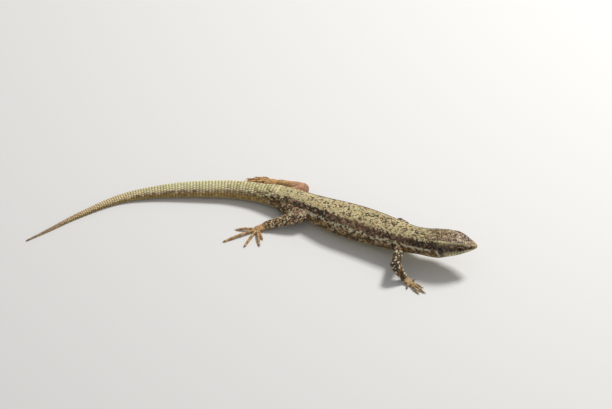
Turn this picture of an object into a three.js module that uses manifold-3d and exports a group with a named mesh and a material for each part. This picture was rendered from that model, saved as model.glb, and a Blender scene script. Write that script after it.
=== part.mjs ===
// A wall lizard, life size, as a still museum model: head up on its front legs, belly and tail on the floor.
// Millimetres, +Z up. +X runs towards the snout end, and the lizard's right side faces -Y.
// The origin is on the floor, under the middle of the model's bounding box.
import * as THREE from 'three';
import { mergeVertices } from 'three/addons/utils/BufferGeometryUtils.js';
import Module from 'manifold-3d';

const wasm = await Module();
wasm.setup();

// ---------------------------------------------------------------- driving dimensions
const JOINT_GAP = 0.3; // clear space between two neighbouring solids
const FLOOR_BITE = 0.12; // how far what rests on the floor is flattened by it

// The backbone, from the snout back to the tip of the tail: x, y, height of the middle of the body.
const BACKBONE = [
  [71.35, -15.6, 9.5], // snout
  [66.5, -14.4, 9.3], // eyes
  [60.9, -13.1, 8.9], // ears
  [53.7, -10.7, 7.5], // neck
  [47.3, -7.2, 6.1], // shoulders
  [37.8, -1.5, 5.1], // ribs
  [28.3, 3.3, 4.7], // belly
  [19.5, 8.5, 4.05], // groin
  [9.2, 14.6, 3.45], // vent
  [-3.5, 18.6, 2.7], // root of the tail
  [-16.2, 19.4, 2.4],
  [-28.9, 18.9, 1.8],
  [-41.6, 16.3, 1.12],
  [-54.3, 9.3, 0.66],
  [-64.0, 2.4, 0.36],
  [-71.29, -2.7, 0.16], // tip of the tail
];

// The girth: distance behind the snout, half width, height above the backbone, depth below it.
const GIRTH = [
  [0, 0.42, 0.36, 0.34],
  [0.5, 1.05, 0.75, 0.75],
  [1.5, 1.65, 1.15, 1.2],
  [3, 2.4, 1.95, 1.8],
  [5, 3.35, 2.95, 2.5],
  [7, 3.95, 3.5, 3.1],
  [9.5, 4.55, 3.6, 3.7],
  [12, 4.9, 3.35, 4.3],
  [15, 4.75, 3.25, 4.25],
  [18.5, 4.55, 3.6, 3.85],
  [26, 5.15, 4.3, 4.3],
  [33, 5.7, 4.75, 4.75],
  [40.5, 6.0, 4.95, 5.0],
  [47.5, 5.8, 4.75, 4.8],
  [55, 5.0, 4.2, 4.25],
  [62, 4.35, 3.85, 3.85],
  [69.5, 3.8, 3.4, 3.4],
  [76.5, 3.05, 2.95, 2.95],
  [89, 2.7, 2.7, 2.7],
  [102, 2.3, 2.35, 2.3],
  [115, 1.6, 1.65, 1.6],
  [128, 1.05, 1.05, 1.05],
  [143, 0.62, 0.62, 0.6],
  [157, 0.28, 0.28, 0.28],
];

// Where the body is parted, as distances behind the snout, and how many sides and rings each length has.
const LENGTHS = [
  { name: 'neck', from: 14.2, to: 22.5, sides: 20, rings: 4 },
  { name: 'chest', from: 22.5, to: 33, sides: 20, rings: 5 },
  { name: 'belly', from: 33, to: 54, sides: 20, rings: 8 },
  { name: 'hips', from: 54, to: 70, sides: 20, rings: 7 },
  { name: 'tail_root', from: 70, to: 84, sides: 16, rings: 5 },
  { name: 'tail_upper', from: 84, to: 101, sides: 14, rings: 6 },
  { name: 'tail_middle', from: 101, to: 119, sides: 12, rings: 6 },
  { name: 'tail_lower', from: 119, to: 138, sides: 10, rings: 6 },
  { name: 'tail_tip', from: 138, to: 157, sides: 8, rings: 6 },
];
const HEAD = { from: 0, to: 14.2, sides: 24, rings: 11 };
// Power of the cross section, 2 being an ellipse and more being squarer.
const BOXY = { crown: 3.8, jaw: 2.7, body: 2.15 };
const BROW_TAPER = { front: 0.1, back: 0.26 }; // how much narrower the crown is than the jaw

// Eye and ear: the place of the middle (behind the snout, out from the backbone, up from it) and the half
// sizes [along, across, high]. An eardrum is a thin disc at the bottom of its recess.
const EYE = { behind: 4.9, out: 2.3, up: 0.5, half: [1.25, 1.1, 1.19] };
const EARDRUM = { behind: 11.0, out: 4.0, up: -0.45, half: [0.7, 0.35, 1.25] };
const EAR_RECESS = { behind: 11.0, out: 4.95, up: -0.45, half: [1.0, 1.85, 1.55] };
const SIDE_TURN = 0.12; // radians that eyes and ears are turned in towards the snout
// The mouth's line from the side, from past the snout back to its corner: distance ahead of the snout, height.
const MOUTH = [[2, -0.3], [-4.2, -1.2], [-7.7, -1.7]];
const JAW_END = -9.6; // where the lower jaw is parted from the throat, ahead of the snout

// Limbs: the joints (x, y, z) of shoulder or hip, elbow or knee, and wrist or ankle; the place (x, y) where the
// digits spread; the radius at each end of the two bones; and each digit's tip (x, y), from the innermost digit
// to the outermost. The first joint is inside the body.
const LIMBS = {
  foreleg_right: {
    parts: ['upper_arm', 'forearm', 'hand'],
    joints: [[47.4, -10.6, 5.7], [45.6, -20.0, 5.7], [48.5, -21.4, 1.2]],
    spread: [50.1, -22.7],
    radii: [1.65, 1.55, 1.65, 1.12],
    digits: [[52.3, -20.5], [54.9, -25.0], [55.5, -27.7], [53.3, -28.2], [48.9, -26.0]],
  },
  foreleg_left: {
    parts: ['upper_arm', 'forearm', 'hand'],
    joints: [[50.2, -5.6, 5.6], [47.2, 0.9, 4.6], [51.8, 0.7, 1.2]],
    spread: [53.6, 0.7],
    radii: [1.65, 1.5, 1.6, 1.1],
    digits: [[55.5, -1.8], [58.4, -1.2], [59.4, 1.1], [57.9, 3.2], [54.5, 4.3]],
  },
  hindleg_right: {
    parts: ['thigh', 'shank', 'foot'],
    joints: [[10.1, 11.4, 2.75], [15.9, 4.3, 4.5], [4.8, 3.3, 1.4]],
    spread: [2.0, 2.3],
    radii: [2.35, 2.05, 2.05, 1.3],
    digits: [[3.9, -2.8], [2.7, -5.9], [-2.5, -6.2], [-9.4, -3.5], [-5.6, 2.6]],
  },
  hindleg_left: {
    parts: ['thigh', 'shank', 'foot'],
    joints: [[11.0, 15.1, 2.8], [16.6, 18.8, 3.05], [9.2, 23.3, 1.4]],
    spread: [6.6, 24.9],
    radii: [2.3, 1.9, 1.9, 1.25],
    digits: [[3.4, 28.14], [0.5, 27.8], [-2.0, 26.9], [-3.6, 25.3], [2.2, 23.0]],
  },
};
const DOME = 0.75; // how much of a half ball closes each end of a bone, and so flattens its very tip
const END_RINGS = 0.65; // how strongly the rings of a bone gather at its ends, from 0 to 1
const SLIMMING = 1.8; // power by which a lower leg keeps its girth first and slims near its end
// Palm or sole: half widths at the wrist or ankle and where the digits spread, and half its thickness.
const PALM = { hand: [1.08, 1.25, 0.58], foot: [1.2, 1.4, 0.66] };
// A finger's and a toe's radius, how much of it the digit has at its root and tip, and its knuckle's rise.
const DIGIT = { hand: 0.33, foot: 0.37, root: 1.12, tip: 0.88, knuckleRise: 0.5, sides: 6, rings: 4 };
// Each digit ends in a claw, joined to it; tip is how much of its radius is left at its point.
const CLAW = { length: 1.3, radius: 0.26, tip: 0.85, sides: 5, rings: 2 };

// ---------------------------------------------------------------- materials
const skinColour = { back: 0x807848, head: 0x7d6647, limb: 0x856940, tail: 0x878050 };
const skin = (colour) => new THREE.MeshStandardMaterial({ color: colour, roughness: 0.55, metalness: 0 });
const eyeMaterial = new THREE.MeshStandardMaterial({ color: 0x1a120c, roughness: 0.15, metalness: 0 });
const drumMaterial = new THREE.MeshStandardMaterial({ color: 0x3a2c20, roughness: 0.5, metalness: 0 });

// ---------------------------------------------------------------- shapes
const backbone = new THREE.CatmullRomCurve3(
  BACKBONE.map((p) => new THREE.Vector3(...p)), false, 'catmullrom');
backbone.arcLengthDivisions = 800;
const tailEnd = GIRTH[GIRTH.length - 1][0];
const UP = new THREE.Vector3(0, 0, 1);

// A place on the backbone: its middle, the way it runs (back to front), right and up.
function station(behind) {
  const u = THREE.MathUtils.clamp(behind / tailEnd, 0, 1);
  const middle = backbone.getPointAt(u);
  const forward = backbone.getTangentAt(u).negate();
  const right = new THREE.Vector3().crossVectors(forward, UP).normalize();
  const up = new THREE.Vector3().crossVectors(right, forward);
  return { middle, forward, right, up };
}

// Smooth value of one column of the girth table (a Hermite curve through its rows).
function girth(behind, column) {
  const last = GIRTH.length - 1;
  let i = GIRTH.findIndex((row) => row[0] > behind) - 1;
  if (i < 0) i = last - 1;
  const slope = (k) => {
    const [a, b] = [GIRTH[Math.max(k - 1, 0)], GIRTH[Math.min(k + 1, last)]];
    return (b[column] - a[column]) / (b[0] - a[0]);
  };
  const [a, b] = [GIRTH[i], GIRTH[i + 1]];
  const span = b[0] - a[0];
  const t = THREE.MathUtils.clamp((behind - a[0]) / span, 0, 1);
  const [t2, t3] = [t * t, t * t * t];
  return (2 * t3 - 3 * t2 + 1) * a[column] + (t3 - 2 * t2 + t) * span * slope(i)
    + (3 * t2 - 2 * t3) * b[column] + (t3 - t2) * span * slope(i + 1);
}

// How boxy the cross section is above and below its middle: the head is squarer than the body.
function boxiness(behind, isAbove) {
  const head = isAbove ? BOXY.crown : BOXY.jaw;
  return THREE.MathUtils.lerp(head, BOXY.body, THREE.MathUtils.smoothstep(behind, 10, 22));
}

// The crown is nearly as wide as the jaw at the eyes and narrower at the temples. The neck has no crown.
function crownTaper(behind) {
  const temples = THREE.MathUtils.smoothstep(behind, 5, 11);
  const neck = THREE.MathUtils.smoothstep(behind, 12, 20);
  return THREE.MathUtils.lerp(BROW_TAPER.front, BROW_TAPER.back, temples) * (1 - neck);
}

// Bends a closed unit cylinder: place(t, x, z) gives the point for height t and spot (x, z) on the unit disc.
function bentCylinder(sides, rings, place) {
  const shape = new THREE.CylinderGeometry(1, 1, 1, sides, rings);
  const spots = shape.getAttribute('position');
  for (let i = 0; i < spots.count; i += 1) {
    const p = place(spots.getY(i) + 0.5, spots.getX(i), spots.getZ(i));
    spots.setXYZ(i, p.x, p.y, p.z);
  }
  return shape;
}

// A length of the body between two stations, grown outwards by `grow`.
function bodyLength({ from, to, sides, rings }, grow = 0, warp = (t) => t) {
  return bentCylinder(sides, rings, (t, x, z) => {
    const behind = THREE.MathUtils.lerp(to, from, warp(t));
    const { middle, right, up } = station(behind);
    const power = 2 / boxiness(behind, z > 0);
    const radius = Math.hypot(x, z);
    const [dx, dz] = radius > 0 ? [x / radius, z / radius] : [0, 0];
    const side = Math.sign(dx) * Math.abs(dx) ** power * radius;
    const lift = Math.sign(dz) * Math.abs(dz) ** power * radius;
    const crown = 1 - crownTaper(behind) * Math.max(lift, 0) ** 2;
    const width = (girth(behind, 1) + grow) * side * crown;
    const height = (girth(behind, lift > 0 ? 2 : 3) + grow) * lift;
    return middle.clone().addScaledVector(right, width).addScaledVector(up, height);
  });
}

// A limb bone: a round bar along a smooth line of points, with domed ends. radiusAt(t) gives its radius, and
// flat(t) squashes it in height.
function bar(points, radiusAt, { sides = 10, rings = 7, flat = () => 1, grow = 0 } = {}) {
  const line = new THREE.CatmullRomCurve3(points.map((p) => p.clone()), false, 'catmullrom');
  const length = line.getLength();
  return bentCylinder(sides, rings, (t, x, z) => {
    const endRadius = radiusAt(t < 0.5 ? 0 : 1);
    const domeReach = endRadius * DOME;
    const along = THREE.MathUtils.lerp(-domeReach, length + domeReach, easeEnds(t));
    const inside = THREE.MathUtils.clamp(along / length, 0, 1);
    const past = Math.abs(along - inside * length) / endRadius;
    const dome = Math.sqrt(1 - past * past);
    const forward = line.getTangentAt(inside);
    const across = new THREE.Vector3().crossVectors(forward, UP).normalize();
    const up = new THREE.Vector3().crossVectors(across, forward);
    const radius = radiusAt(inside) * dome + grow;
    const growPast = past > 0 ? grow * Math.sign(along) : 0;
    return line.getPointAt(inside)
      .addScaledVector(forward, along - inside * length + growPast)
      .addScaledVector(across, x * radius)
      .addScaledVector(up, z * radius * flat(inside));
  });
}

// Spends more of a bar's rings on its domed ends.
function easeEnds(t) {
  return THREE.MathUtils.lerp(t, 0.5 - 0.5 * Math.cos(Math.PI * t), END_RINGS);
}

// ---------------------------------------------------------------- booleans
function solid(geometry) {
  const bare = geometry.clone();
  bare.deleteAttribute('normal');
  bare.deleteAttribute('uv');
  const merged = mergeVertices(bare, 1e-4);
  return new wasm.Manifold(new wasm.Mesh({
    numProp: 3,
    vertProperties: new Float32Array(merged.getAttribute('position').array),
    triVerts: new Uint32Array(merged.index.array),
  }));
}

function geometryOf(made) {
  const mesh = made.getMesh();
  const geometry = new THREE.BufferGeometry();
  geometry.setAttribute('position', new THREE.BufferAttribute(new Float32Array(mesh.vertProperties), 3));
  geometry.setIndex(new THREE.BufferAttribute(new Uint32Array(mesh.triVerts), 1));
  return geometry;
}

// Keeps the largest of the bodies that a cut leaves.
function largest(made) {
  return made.decompose().reduce((best, body) => (body.volume() > best.volume() ? body : best));
}

const cut = (made, ...tools) => largest(tools.reduce((rest, tool) => rest.subtract(tool), made));

const FLOOR_SIZE = 400;
const floor = solid(new THREE.BoxGeometry(FLOOR_SIZE, FLOOR_SIZE, 10).translate(0, 0, -5));

// ---------------------------------------------------------------- the model
const lizard = new THREE.Group();
const made = new Map(); // node name -> solid

// Keeps a solid under its node's name, flattened where it lies on the floor.
function keep(name, body, material) {
  made.set(name, { body: cut(body, floor), material });
}

// Body and tail: each length ends JOINT_GAP short of the next.
for (const part of LENGTHS) {
  const stretch = { ...part, from: part.from + JOINT_GAP };
  const colour = part.name.startsWith('tail') ? skinColour.tail : skinColour.back;
  keep(part.name, solid(bodyLength(stretch)), skin(colour));
}

// Head: one shell, hollowed for the eyes and ears, then parted along the mouth into head and lower jaw.
const closerAtSnout = (t) => 1 - (1 - t) ** 1.5;
const wholeHead = solid(bodyLength(HEAD, 0, closerAtSnout));

// An ellipsoid in its place on one side of the head (1 is right, -1 is left), grown outwards by `grow`.
function headOval(place, side, grow = 0) {
  const at = station(place.behind);
  const middle = at.middle.clone().addScaledVector(at.right, place.out * side).addScaledVector(at.up, place.up);
  const axes = new THREE.Matrix4().makeBasis(at.forward, at.right.clone().negate(), at.up);
  const oval = new THREE.SphereGeometry(1, 12, 8)
    .scale(...place.half.map((half) => half + grow))
    .rotateZ(side * SIDE_TURN)
    .applyMatrix4(axes)
    .translate(middle.x, middle.y, middle.z);
  return solid(oval);
}

// A block that holds all of the head below the mouth's line, with its top and back grown outwards by `grow`.
function jawBlock(grow) {
  const reach = 12; // well past the head, down and on each side
  const outline = new THREE.Shape([
    ...MOUTH.map(([ahead, height]) => new THREE.Vector2(ahead, height + grow)),
    new THREE.Vector2(JAW_END - grow, -reach),
    new THREE.Vector2(MOUTH[0][0], -reach),
  ]);
  const snout = station(0).middle;
  const corner = station(-MOUTH.at(-1)[0]).middle;
  const along = snout.clone().sub(corner).normalize();
  const right = new THREE.Vector3().crossVectors(along, UP).normalize();
  const axes = new THREE.Matrix4().makeBasis(along, new THREE.Vector3().crossVectors(right, along), right);
  const block = new THREE.ExtrudeGeometry(outline, { depth: 2 * reach, bevelEnabled: false })
    .translate(0, 0, -reach)
    .applyMatrix4(axes)
    .translate(snout.x, snout.y, snout.z);
  return solid(block);
}

const hollows = [];
for (const [name, side] of [['right', 1], ['left', -1]]) {
  keep(`eye_${name}`, headOval(EYE, side), eyeMaterial);
  keep(`ear_${name}`, headOval(EARDRUM, side), drumMaterial);
  hollows.push(headOval(EYE, side, JOINT_GAP), headOval(EAR_RECESS, side));
}
keep('head', cut(wholeHead, jawBlock(JOINT_GAP), ...hollows), skin(skinColour.head));
keep('lower_jaw', cut(wholeHead.intersect(jawBlock(0)), ...hollows), skin(skinColour.head));

// Limbs: each bone is cut back from the body, and from the bone it joins, by the joint's gap.
const trunk = LENGTHS.slice(0, 5).map((part) => {
  const longer = { ...part, from: part.from - JOINT_GAP, to: part.to + JOINT_GAP };
  return solid(bodyLength(longer, JOINT_GAP));
});

// One finger or toe: from the palm over a raised knuckle down to its pad, and a claw that reaches the floor.
function digit(palm, tip, thick) {
  const away = tip.clone().sub(palm).setZ(0);
  const reach = away.length();
  away.normalize();
  const along = (distance, height) => palm.clone().addScaledVector(away, distance).setZ(height);
  const onFloor = thick * DIGIT.tip - FLOOR_BITE / 2;
  const pad = along(reach - CLAW.length, onFloor);
  const point = along(reach - CLAW.radius, CLAW.radius * CLAW.tip - FLOOR_BITE / 8);
  const knuckle = along(reach / 2, onFloor + DIGIT.knuckleRise);
  const toeRadius = (t) => thick * THREE.MathUtils.lerp(DIGIT.root, DIGIT.tip, t);
  const clawRadius = (t) => CLAW.radius * THREE.MathUtils.lerp(1, CLAW.tip, t);
  const toe = bar([along(0, palm.z), knuckle, pad], toeRadius, { sides: DIGIT.sides, rings: DIGIT.rings });
  const claw = bar([pad, point], clawRadius, { sides: CLAW.sides, rings: CLAW.rings });
  return solid(toe).add(solid(claw));
}

for (const [limb, shape] of Object.entries(LIMBS)) {
  const [root, bend, end] = shape.joints.map((joint) => new THREE.Vector3(...joint));
  const [r0, r1, r2, r3] = shape.radii;
  const [upperPart, lowerPart, endPart] = shape.parts;
  const [narrow, wide, half] = PALM[endPart];
  const palm = new THREE.Vector3(...shape.spread, half - FLOOR_BITE / 2);
  const colour = skin(skinColour.limb);

  const upper = (grow) => solid(bar([root, bend], (t) => THREE.MathUtils.lerp(r0, r1, t), { grow }));
  const lower = (grow) => solid(bar([bend, end], (t) => THREE.MathUtils.lerp(r2, r3, t ** SLIMMING), { grow }));
  const palmWidth = (t) => THREE.MathUtils.lerp(narrow, wide, t);
  const sole = solid(bar([end, palm], palmWidth, { rings: 4, flat: (t) => half / palmWidth(t) }));
  const digits = shape.digits.map(([x, y]) => digit(palm, new THREE.Vector3(x, y, 0), DIGIT[endPart]));
  const wholeEnd = digits.reduce((whole, one) => whole.add(one), sole);

  keep(`${limb}_${upperPart}`, cut(upper(0), ...trunk), colour);
  keep(`${limb}_${lowerPart}`, cut(lower(0), upper(JOINT_GAP), ...trunk), colour);
  keep(`${limb}_${endPart}`, cut(wholeEnd, lower(JOINT_GAP)), colour);
}

for (const [name, { body, material }] of made) {
  const mesh = new THREE.Mesh(geometryOf(body), material);
  mesh.name = name;
  lizard.add(mesh);
}

export default lizard;
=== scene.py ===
import math

import bmesh
import bpy
import numpy as np
from mathutils import Matrix, Vector
from mathutils.bvhtree import BVHTree
from mathutils.kdtree import KDTree


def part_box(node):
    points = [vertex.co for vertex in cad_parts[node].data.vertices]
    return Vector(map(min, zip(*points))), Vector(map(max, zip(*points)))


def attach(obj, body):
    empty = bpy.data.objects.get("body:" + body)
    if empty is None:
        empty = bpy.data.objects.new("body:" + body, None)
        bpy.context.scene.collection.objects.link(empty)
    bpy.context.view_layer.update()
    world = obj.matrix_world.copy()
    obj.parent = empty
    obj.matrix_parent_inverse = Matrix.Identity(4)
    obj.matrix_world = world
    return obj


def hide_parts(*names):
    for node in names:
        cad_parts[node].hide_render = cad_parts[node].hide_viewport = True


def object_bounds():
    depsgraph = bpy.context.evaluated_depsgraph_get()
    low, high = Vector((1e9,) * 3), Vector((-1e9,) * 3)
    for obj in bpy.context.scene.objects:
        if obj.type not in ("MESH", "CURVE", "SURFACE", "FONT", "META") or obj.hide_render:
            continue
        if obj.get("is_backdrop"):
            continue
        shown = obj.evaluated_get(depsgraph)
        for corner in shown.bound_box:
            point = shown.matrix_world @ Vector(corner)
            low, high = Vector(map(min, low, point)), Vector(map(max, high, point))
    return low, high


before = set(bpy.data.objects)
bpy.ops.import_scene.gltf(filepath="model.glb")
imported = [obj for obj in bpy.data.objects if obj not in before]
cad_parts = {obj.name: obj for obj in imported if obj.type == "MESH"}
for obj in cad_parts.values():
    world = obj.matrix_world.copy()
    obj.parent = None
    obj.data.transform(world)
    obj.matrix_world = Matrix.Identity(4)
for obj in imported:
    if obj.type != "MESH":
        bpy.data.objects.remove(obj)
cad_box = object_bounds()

# ---------------------------------------------------------------- the hide
# The hide of a wall lizard: one soft skin over muscle and bone, from the snout to the tip of the tail and
# out to every toe. It is lofted along the backbone and the limbs in millimetres, grown together without a
# seam, and lies inside the solids by the depth of the scales that stand on it.
MM = 0.001
HIDE_DEPTH = 0.12  # from the true outline down to the skin, which the scales fill
FLOOR_REST = 0.05  # height of the skin where the animal lies on the floor

# The backbone, from the snout back to the tip of the tail: x, y, height of the middle of the body.
BACKBONE = [
    (71.35, -15.6, 9.5),  # snout
    (66.5, -14.4, 9.3),  # eyes
    (60.9, -13.1, 8.9),  # ears
    (53.7, -10.7, 7.5),  # neck
    (47.3, -7.2, 6.1),  # shoulders
    (37.8, -1.5, 5.1),  # ribs
    (28.3, 3.3, 4.7),  # belly
    (19.5, 8.5, 4.05),  # groin
    (9.2, 14.6, 3.45),  # vent
    (-3.5, 18.6, 2.7),  # root of the tail
    (-16.2, 19.4, 2.4),
    (-28.9, 18.9, 1.8),
    (-41.6, 16.3, 1.12),
    (-54.3, 9.3, 0.66),
    (-64.0, 2.4, 0.36),
    (-71.29, -2.7, 0.16),  # tip of the tail
]
TAIL_END = 157.0  # distance from the snout to the tip of the tail, along the backbone

# Distance behind the snout, half width, height above the backbone, depth below it.
GIRTH = np.array([
    (0, 0.42, 0.36, 0.34),
    (0.5, 1.05, 0.75, 0.75),
    (1.5, 1.65, 1.15, 1.2),
    (3, 2.4, 1.95, 1.8),
    (5, 3.35, 2.95, 2.5),
    (7, 3.95, 3.5, 3.1),
    (9.5, 4.55, 3.6, 3.7),
    (12, 4.9, 3.35, 4.3),
    (15, 4.75, 3.25, 4.25),
    (18.5, 4.55, 3.6, 3.85),
    (26, 5.15, 4.3, 4.3),
    (33, 5.7, 4.75, 4.75),
    (40.5, 6.0, 4.95, 5.0),
    (47.5, 5.8, 4.75, 4.8),
    (55, 5.0, 4.2, 4.25),
    (62, 4.35, 3.85, 3.85),
    (69.5, 3.8, 3.4, 3.4),
    (76.5, 3.05, 2.95, 2.95),
    (89, 2.7, 2.7, 2.7),
    (102, 2.3, 2.35, 2.3),
    (115, 1.6, 1.65, 1.6),
    (128, 1.05, 1.05, 1.05),
    (143, 0.62, 0.62, 0.6),
    (157, 0.28, 0.28, 0.28),
])
WIDE, ABOVE, BELOW = 1, 2, 3  # the columns of GIRTH
# Power of the cross section, 2 being an ellipse and more being squarer, and how much narrower the crown is
# than the jaw at the eyes and at the temples.
BOXY = {"crown": 3.8, "jaw": 2.7, "body": 2.15}
BROW_TAPER = {"front": 0.1, "back": 0.26}

# Limbs: shoulder or hip, elbow or knee, and wrist or ankle (x, y, z); the place (x, y) where the digits
# spread; the radius at each end of the two bones; and each digit's tip (x, y), from the innermost outwards.
LIMBS = {
    "foreleg_right": {
        "joints": [(47.4, -10.6, 5.7), (45.6, -20.0, 5.7), (48.5, -21.4, 1.2)],
        "spread": (50.1, -22.7),
        "radii": (1.65, 1.55, 1.65, 1.12),
        "digits": [(52.3, -20.5), (54.9, -25.0), (55.5, -27.7), (53.3, -28.2), (48.9, -26.0)],
    },
    "foreleg_left": {
        "joints": [(50.2, -5.6, 5.6), (47.2, 0.9, 4.6), (51.8, 0.7, 1.2)],
        "spread": (53.6, 0.7),
        "radii": (1.65, 1.5, 1.6, 1.1),
        "digits": [(55.5, -1.8), (58.4, -1.2), (59.4, 1.1), (57.9, 3.2), (54.5, 4.3)],
    },
    "hindleg_right": {
        "joints": [(10.1, 11.4, 2.75), (15.9, 4.3, 4.5), (4.8, 3.3, 1.4)],
        "spread": (2.0, 2.3),
        "radii": (2.35, 2.05, 2.05, 1.3),
        "digits": [(3.9, -2.8), (2.7, -5.9), (-2.5, -6.2), (-9.4, -3.5), (-5.6, 2.6)],
    },
    "hindleg_left": {
        "joints": [(11.0, 15.1, 2.8), (16.6, 18.8, 3.05), (9.2, 23.3, 1.4)],
        "spread": (6.6, 24.9),
        "radii": (2.3, 1.9, 1.9, 1.25),
        "digits": [(3.4, 28.14), (0.5, 27.8), (-2.0, 26.9), (-3.6, 25.3), (2.2, 23.0)],
    },
}
SLIMMING = 1.8  # power by which a lower leg keeps its girth first and slims near its end
# Half widths of a palm or sole at its two ends, and its half thickness.
PALM = {"foreleg": (1.08, 1.25, 0.58), "hindleg": (1.2, 1.4, 0.66)}
DIGIT_RADIUS = {"foreleg": 0.33, "hindleg": 0.37}
DIGIT_ROOT, DIGIT_TIP = 1.12, 0.88  # the share of its radius that a digit has at each end
KNUCKLE_RISE = 0.5
FLOOR_BITE = 0.12  # how far what rests on the floor is flattened by it
CLAW = {"length": 1.3, "radius": 0.26}


def soft_step(x, low, high):
    """0 below low, 1 above high and an S curve between."""
    t = np.clip((x - low) / (high - low), 0, 1)
    return t * t * (3 - 2 * t)


class Line:
    """A smooth line through points, read by the distance along it. total rescales that distance."""

    STEPS = 50  # straight steps between two points

    def __init__(self, points, total=None):
        p = np.array(points, float)
        p = np.vstack([2 * p[0] - p[1], p, 2 * p[-1] - p[-2]])
        t = np.linspace(0, 1, self.STEPS, endpoint=False)[:, None]
        pieces = []
        for before, a, b, after in zip(p, p[1:], p[2:], p[3:]):
            start, end = (b - before) / 2, (after - a) / 2
            square = 3 * (b - a) - 2 * start - end
            cube = 2 * (a - b) + start + end
            pieces.append(a + start * t + square * t**2 + cube * t**3)
        self.points = np.vstack([*pieces, p[-2:-1]])
        steps = np.linalg.norm(np.diff(self.points, axis=0), axis=1)
        self.reach = np.concatenate([[0], np.cumsum(steps)])
        if total:
            self.reach *= total / self.reach[-1]
        self.length = self.reach[-1]

    def at(self, distance):
        columns = [np.interp(distance, self.reach, self.points[:, i]) for i in range(3)]
        return np.stack(columns, -1)

    def frame(self, distance):
        """The middle of the line, and the ways towards its start, right and up, each as rows."""
        ahead = self.at(np.maximum(distance - 0.1, 0))
        behind = self.at(np.minimum(distance + 0.1, self.length))
        forward = (ahead - behind) / np.linalg.norm(ahead - behind, axis=-1, keepdims=True)
        right = np.cross(forward, (0, 0, 1))
        right /= np.linalg.norm(right, axis=-1, keepdims=True)
        return self.at(distance), forward, right, np.cross(right, forward)

    def nearest(self, places):
        """The distance along the line of the point nearest to each place."""
        found = np.empty(len(places))
        for start in range(0, len(places), 20000):
            some = places[start:start + 20000]
            gap = (self.points**2).sum(1) - 2 * some @ self.points.T
            i = np.clip(gap.argmin(1), 1, len(self.points) - 2)
            a, b = self.points[i - 1], self.points[i + 1]
            share = ((some - a) * (b - a)).sum(1) / ((b - a) ** 2).sum(1)
            found[start:start + 20000] = self.reach[i - 1] + share * (self.reach[i + 1] - self.reach[i - 1])
        return found


backbone = Line(BACKBONE, TAIL_END)


def girth(behind, column):
    """Smooth value of one column of GIRTH."""
    x, y = GIRTH[:, 0], GIRTH[:, column]
    slope = np.gradient(y)
    slope[1:-1] = (y[2:] - y[:-2]) / (x[2:] - x[:-2])
    slope[[0, -1]] = (y[1] - y[0]) / (x[1] - x[0]), (y[-1] - y[-2]) / (x[-1] - x[-2])
    i = np.clip(np.searchsorted(x, behind, side="right") - 1, 0, len(x) - 2)
    span = x[i + 1] - x[i]
    t = np.clip((behind - x[i]) / span, 0, 1)
    flat = y[i] + (y[i + 1] - y[i]) * t * t * (3 - 2 * t)
    return flat + span * t * (1 - t) * (slope[i] * (1 - t) - slope[i + 1] * t)


def outline(behind, angle, inside=0.0):
    """How far the body's outline is from the backbone, at an angle from the top (right is +)."""
    c, s = np.cos(angle), np.sin(angle)
    boxy = np.where(c > 0, BOXY["crown"], BOXY["jaw"])
    boxy = boxy + (BOXY["body"] - boxy) * soft_step(behind, 10, 22)
    taper = BROW_TAPER["front"] + (BROW_TAPER["back"] - BROW_TAPER["front"]) * soft_step(behind, 5, 11)
    taper = taper * (1 - soft_step(behind, 12, 20))
    tall = np.where(c > 0, girth(behind, ABOVE), girth(behind, BELOW)) - inside
    wide = girth(behind, WIDE) - inside
    found = np.minimum(wide, tall)
    for _ in range(6):  # the taper depends on the height, so the radius is found by going back and forth
        crown = 1 - taper * np.clip(found * c / tall, 0, 1) ** 2
        found = (np.abs(s / (wide * crown)) ** boxy + np.abs(c / tall) ** boxy) ** (-1 / boxy)
    return found


def bent_tube(sides, rings, place):
    """A closed tube from t = 0 to 1, each corner moved to place(t, angle)."""
    tube = bmesh.new()
    bmesh.ops.create_cone(tube, cap_ends=True, segments=sides, radius1=1, radius2=1, depth=1)
    long = [e for e in tube.edges if abs(e.verts[0].co.z - e.verts[1].co.z) > 0.5]
    bmesh.ops.subdivide_edges(tube, edges=long, cuts=rings - 1)
    spots = np.array([v.co for v in tube.verts])
    placed = place(spots[:, 2] + 0.5, np.arctan2(spots[:, 0], spots[:, 1]))
    for vert, co in zip(tube.verts, placed):
        vert.co = co
    return tube


def hide_point(behind, angle):
    """A place on the skin of head, trunk or tail. It lies less deep where the tail is thin."""
    middle, _, right, up = backbone.frame(behind)
    inside = np.minimum(HIDE_DEPTH, girth(behind, WIDE) * 0.2)
    out = np.cos(angle)[:, None] * up + np.sin(angle)[:, None] * right
    return middle + out * outline(behind, angle, inside)[:, None]


def bar(line, radius_at, flat_at=None, sides=20, rings=30):
    """A bone with its flesh: a round bar along a line, its ends closed by domes."""
    ends = radius_at(np.array([0.0, 1.0]))
    dome = 0.75  # of half a ball

    def place(t, angle):
        end = np.where(t < 0.5, ends[0], ends[1])
        eased = t + 0.65 * (0.5 - 0.5 * np.cos(np.pi * t) - t)
        along = -end * dome + (line.length + 2 * end * dome) * eased
        inside = np.clip(along, 0, line.length)
        past = along - inside
        middle, forward, right, up = line.frame(inside)
        radius = radius_at(inside / line.length) * np.sqrt(1 - np.minimum(np.abs(past) / end, 1) ** 2)
        flat = flat_at(inside / line.length) if flat_at else 1
        across = (np.sin(angle) * radius)[:, None]
        high = (np.cos(angle) * radius * flat)[:, None]
        return middle - forward * past[:, None] + right * across + up * high

    return bent_tube(sides, rings, place)


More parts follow.
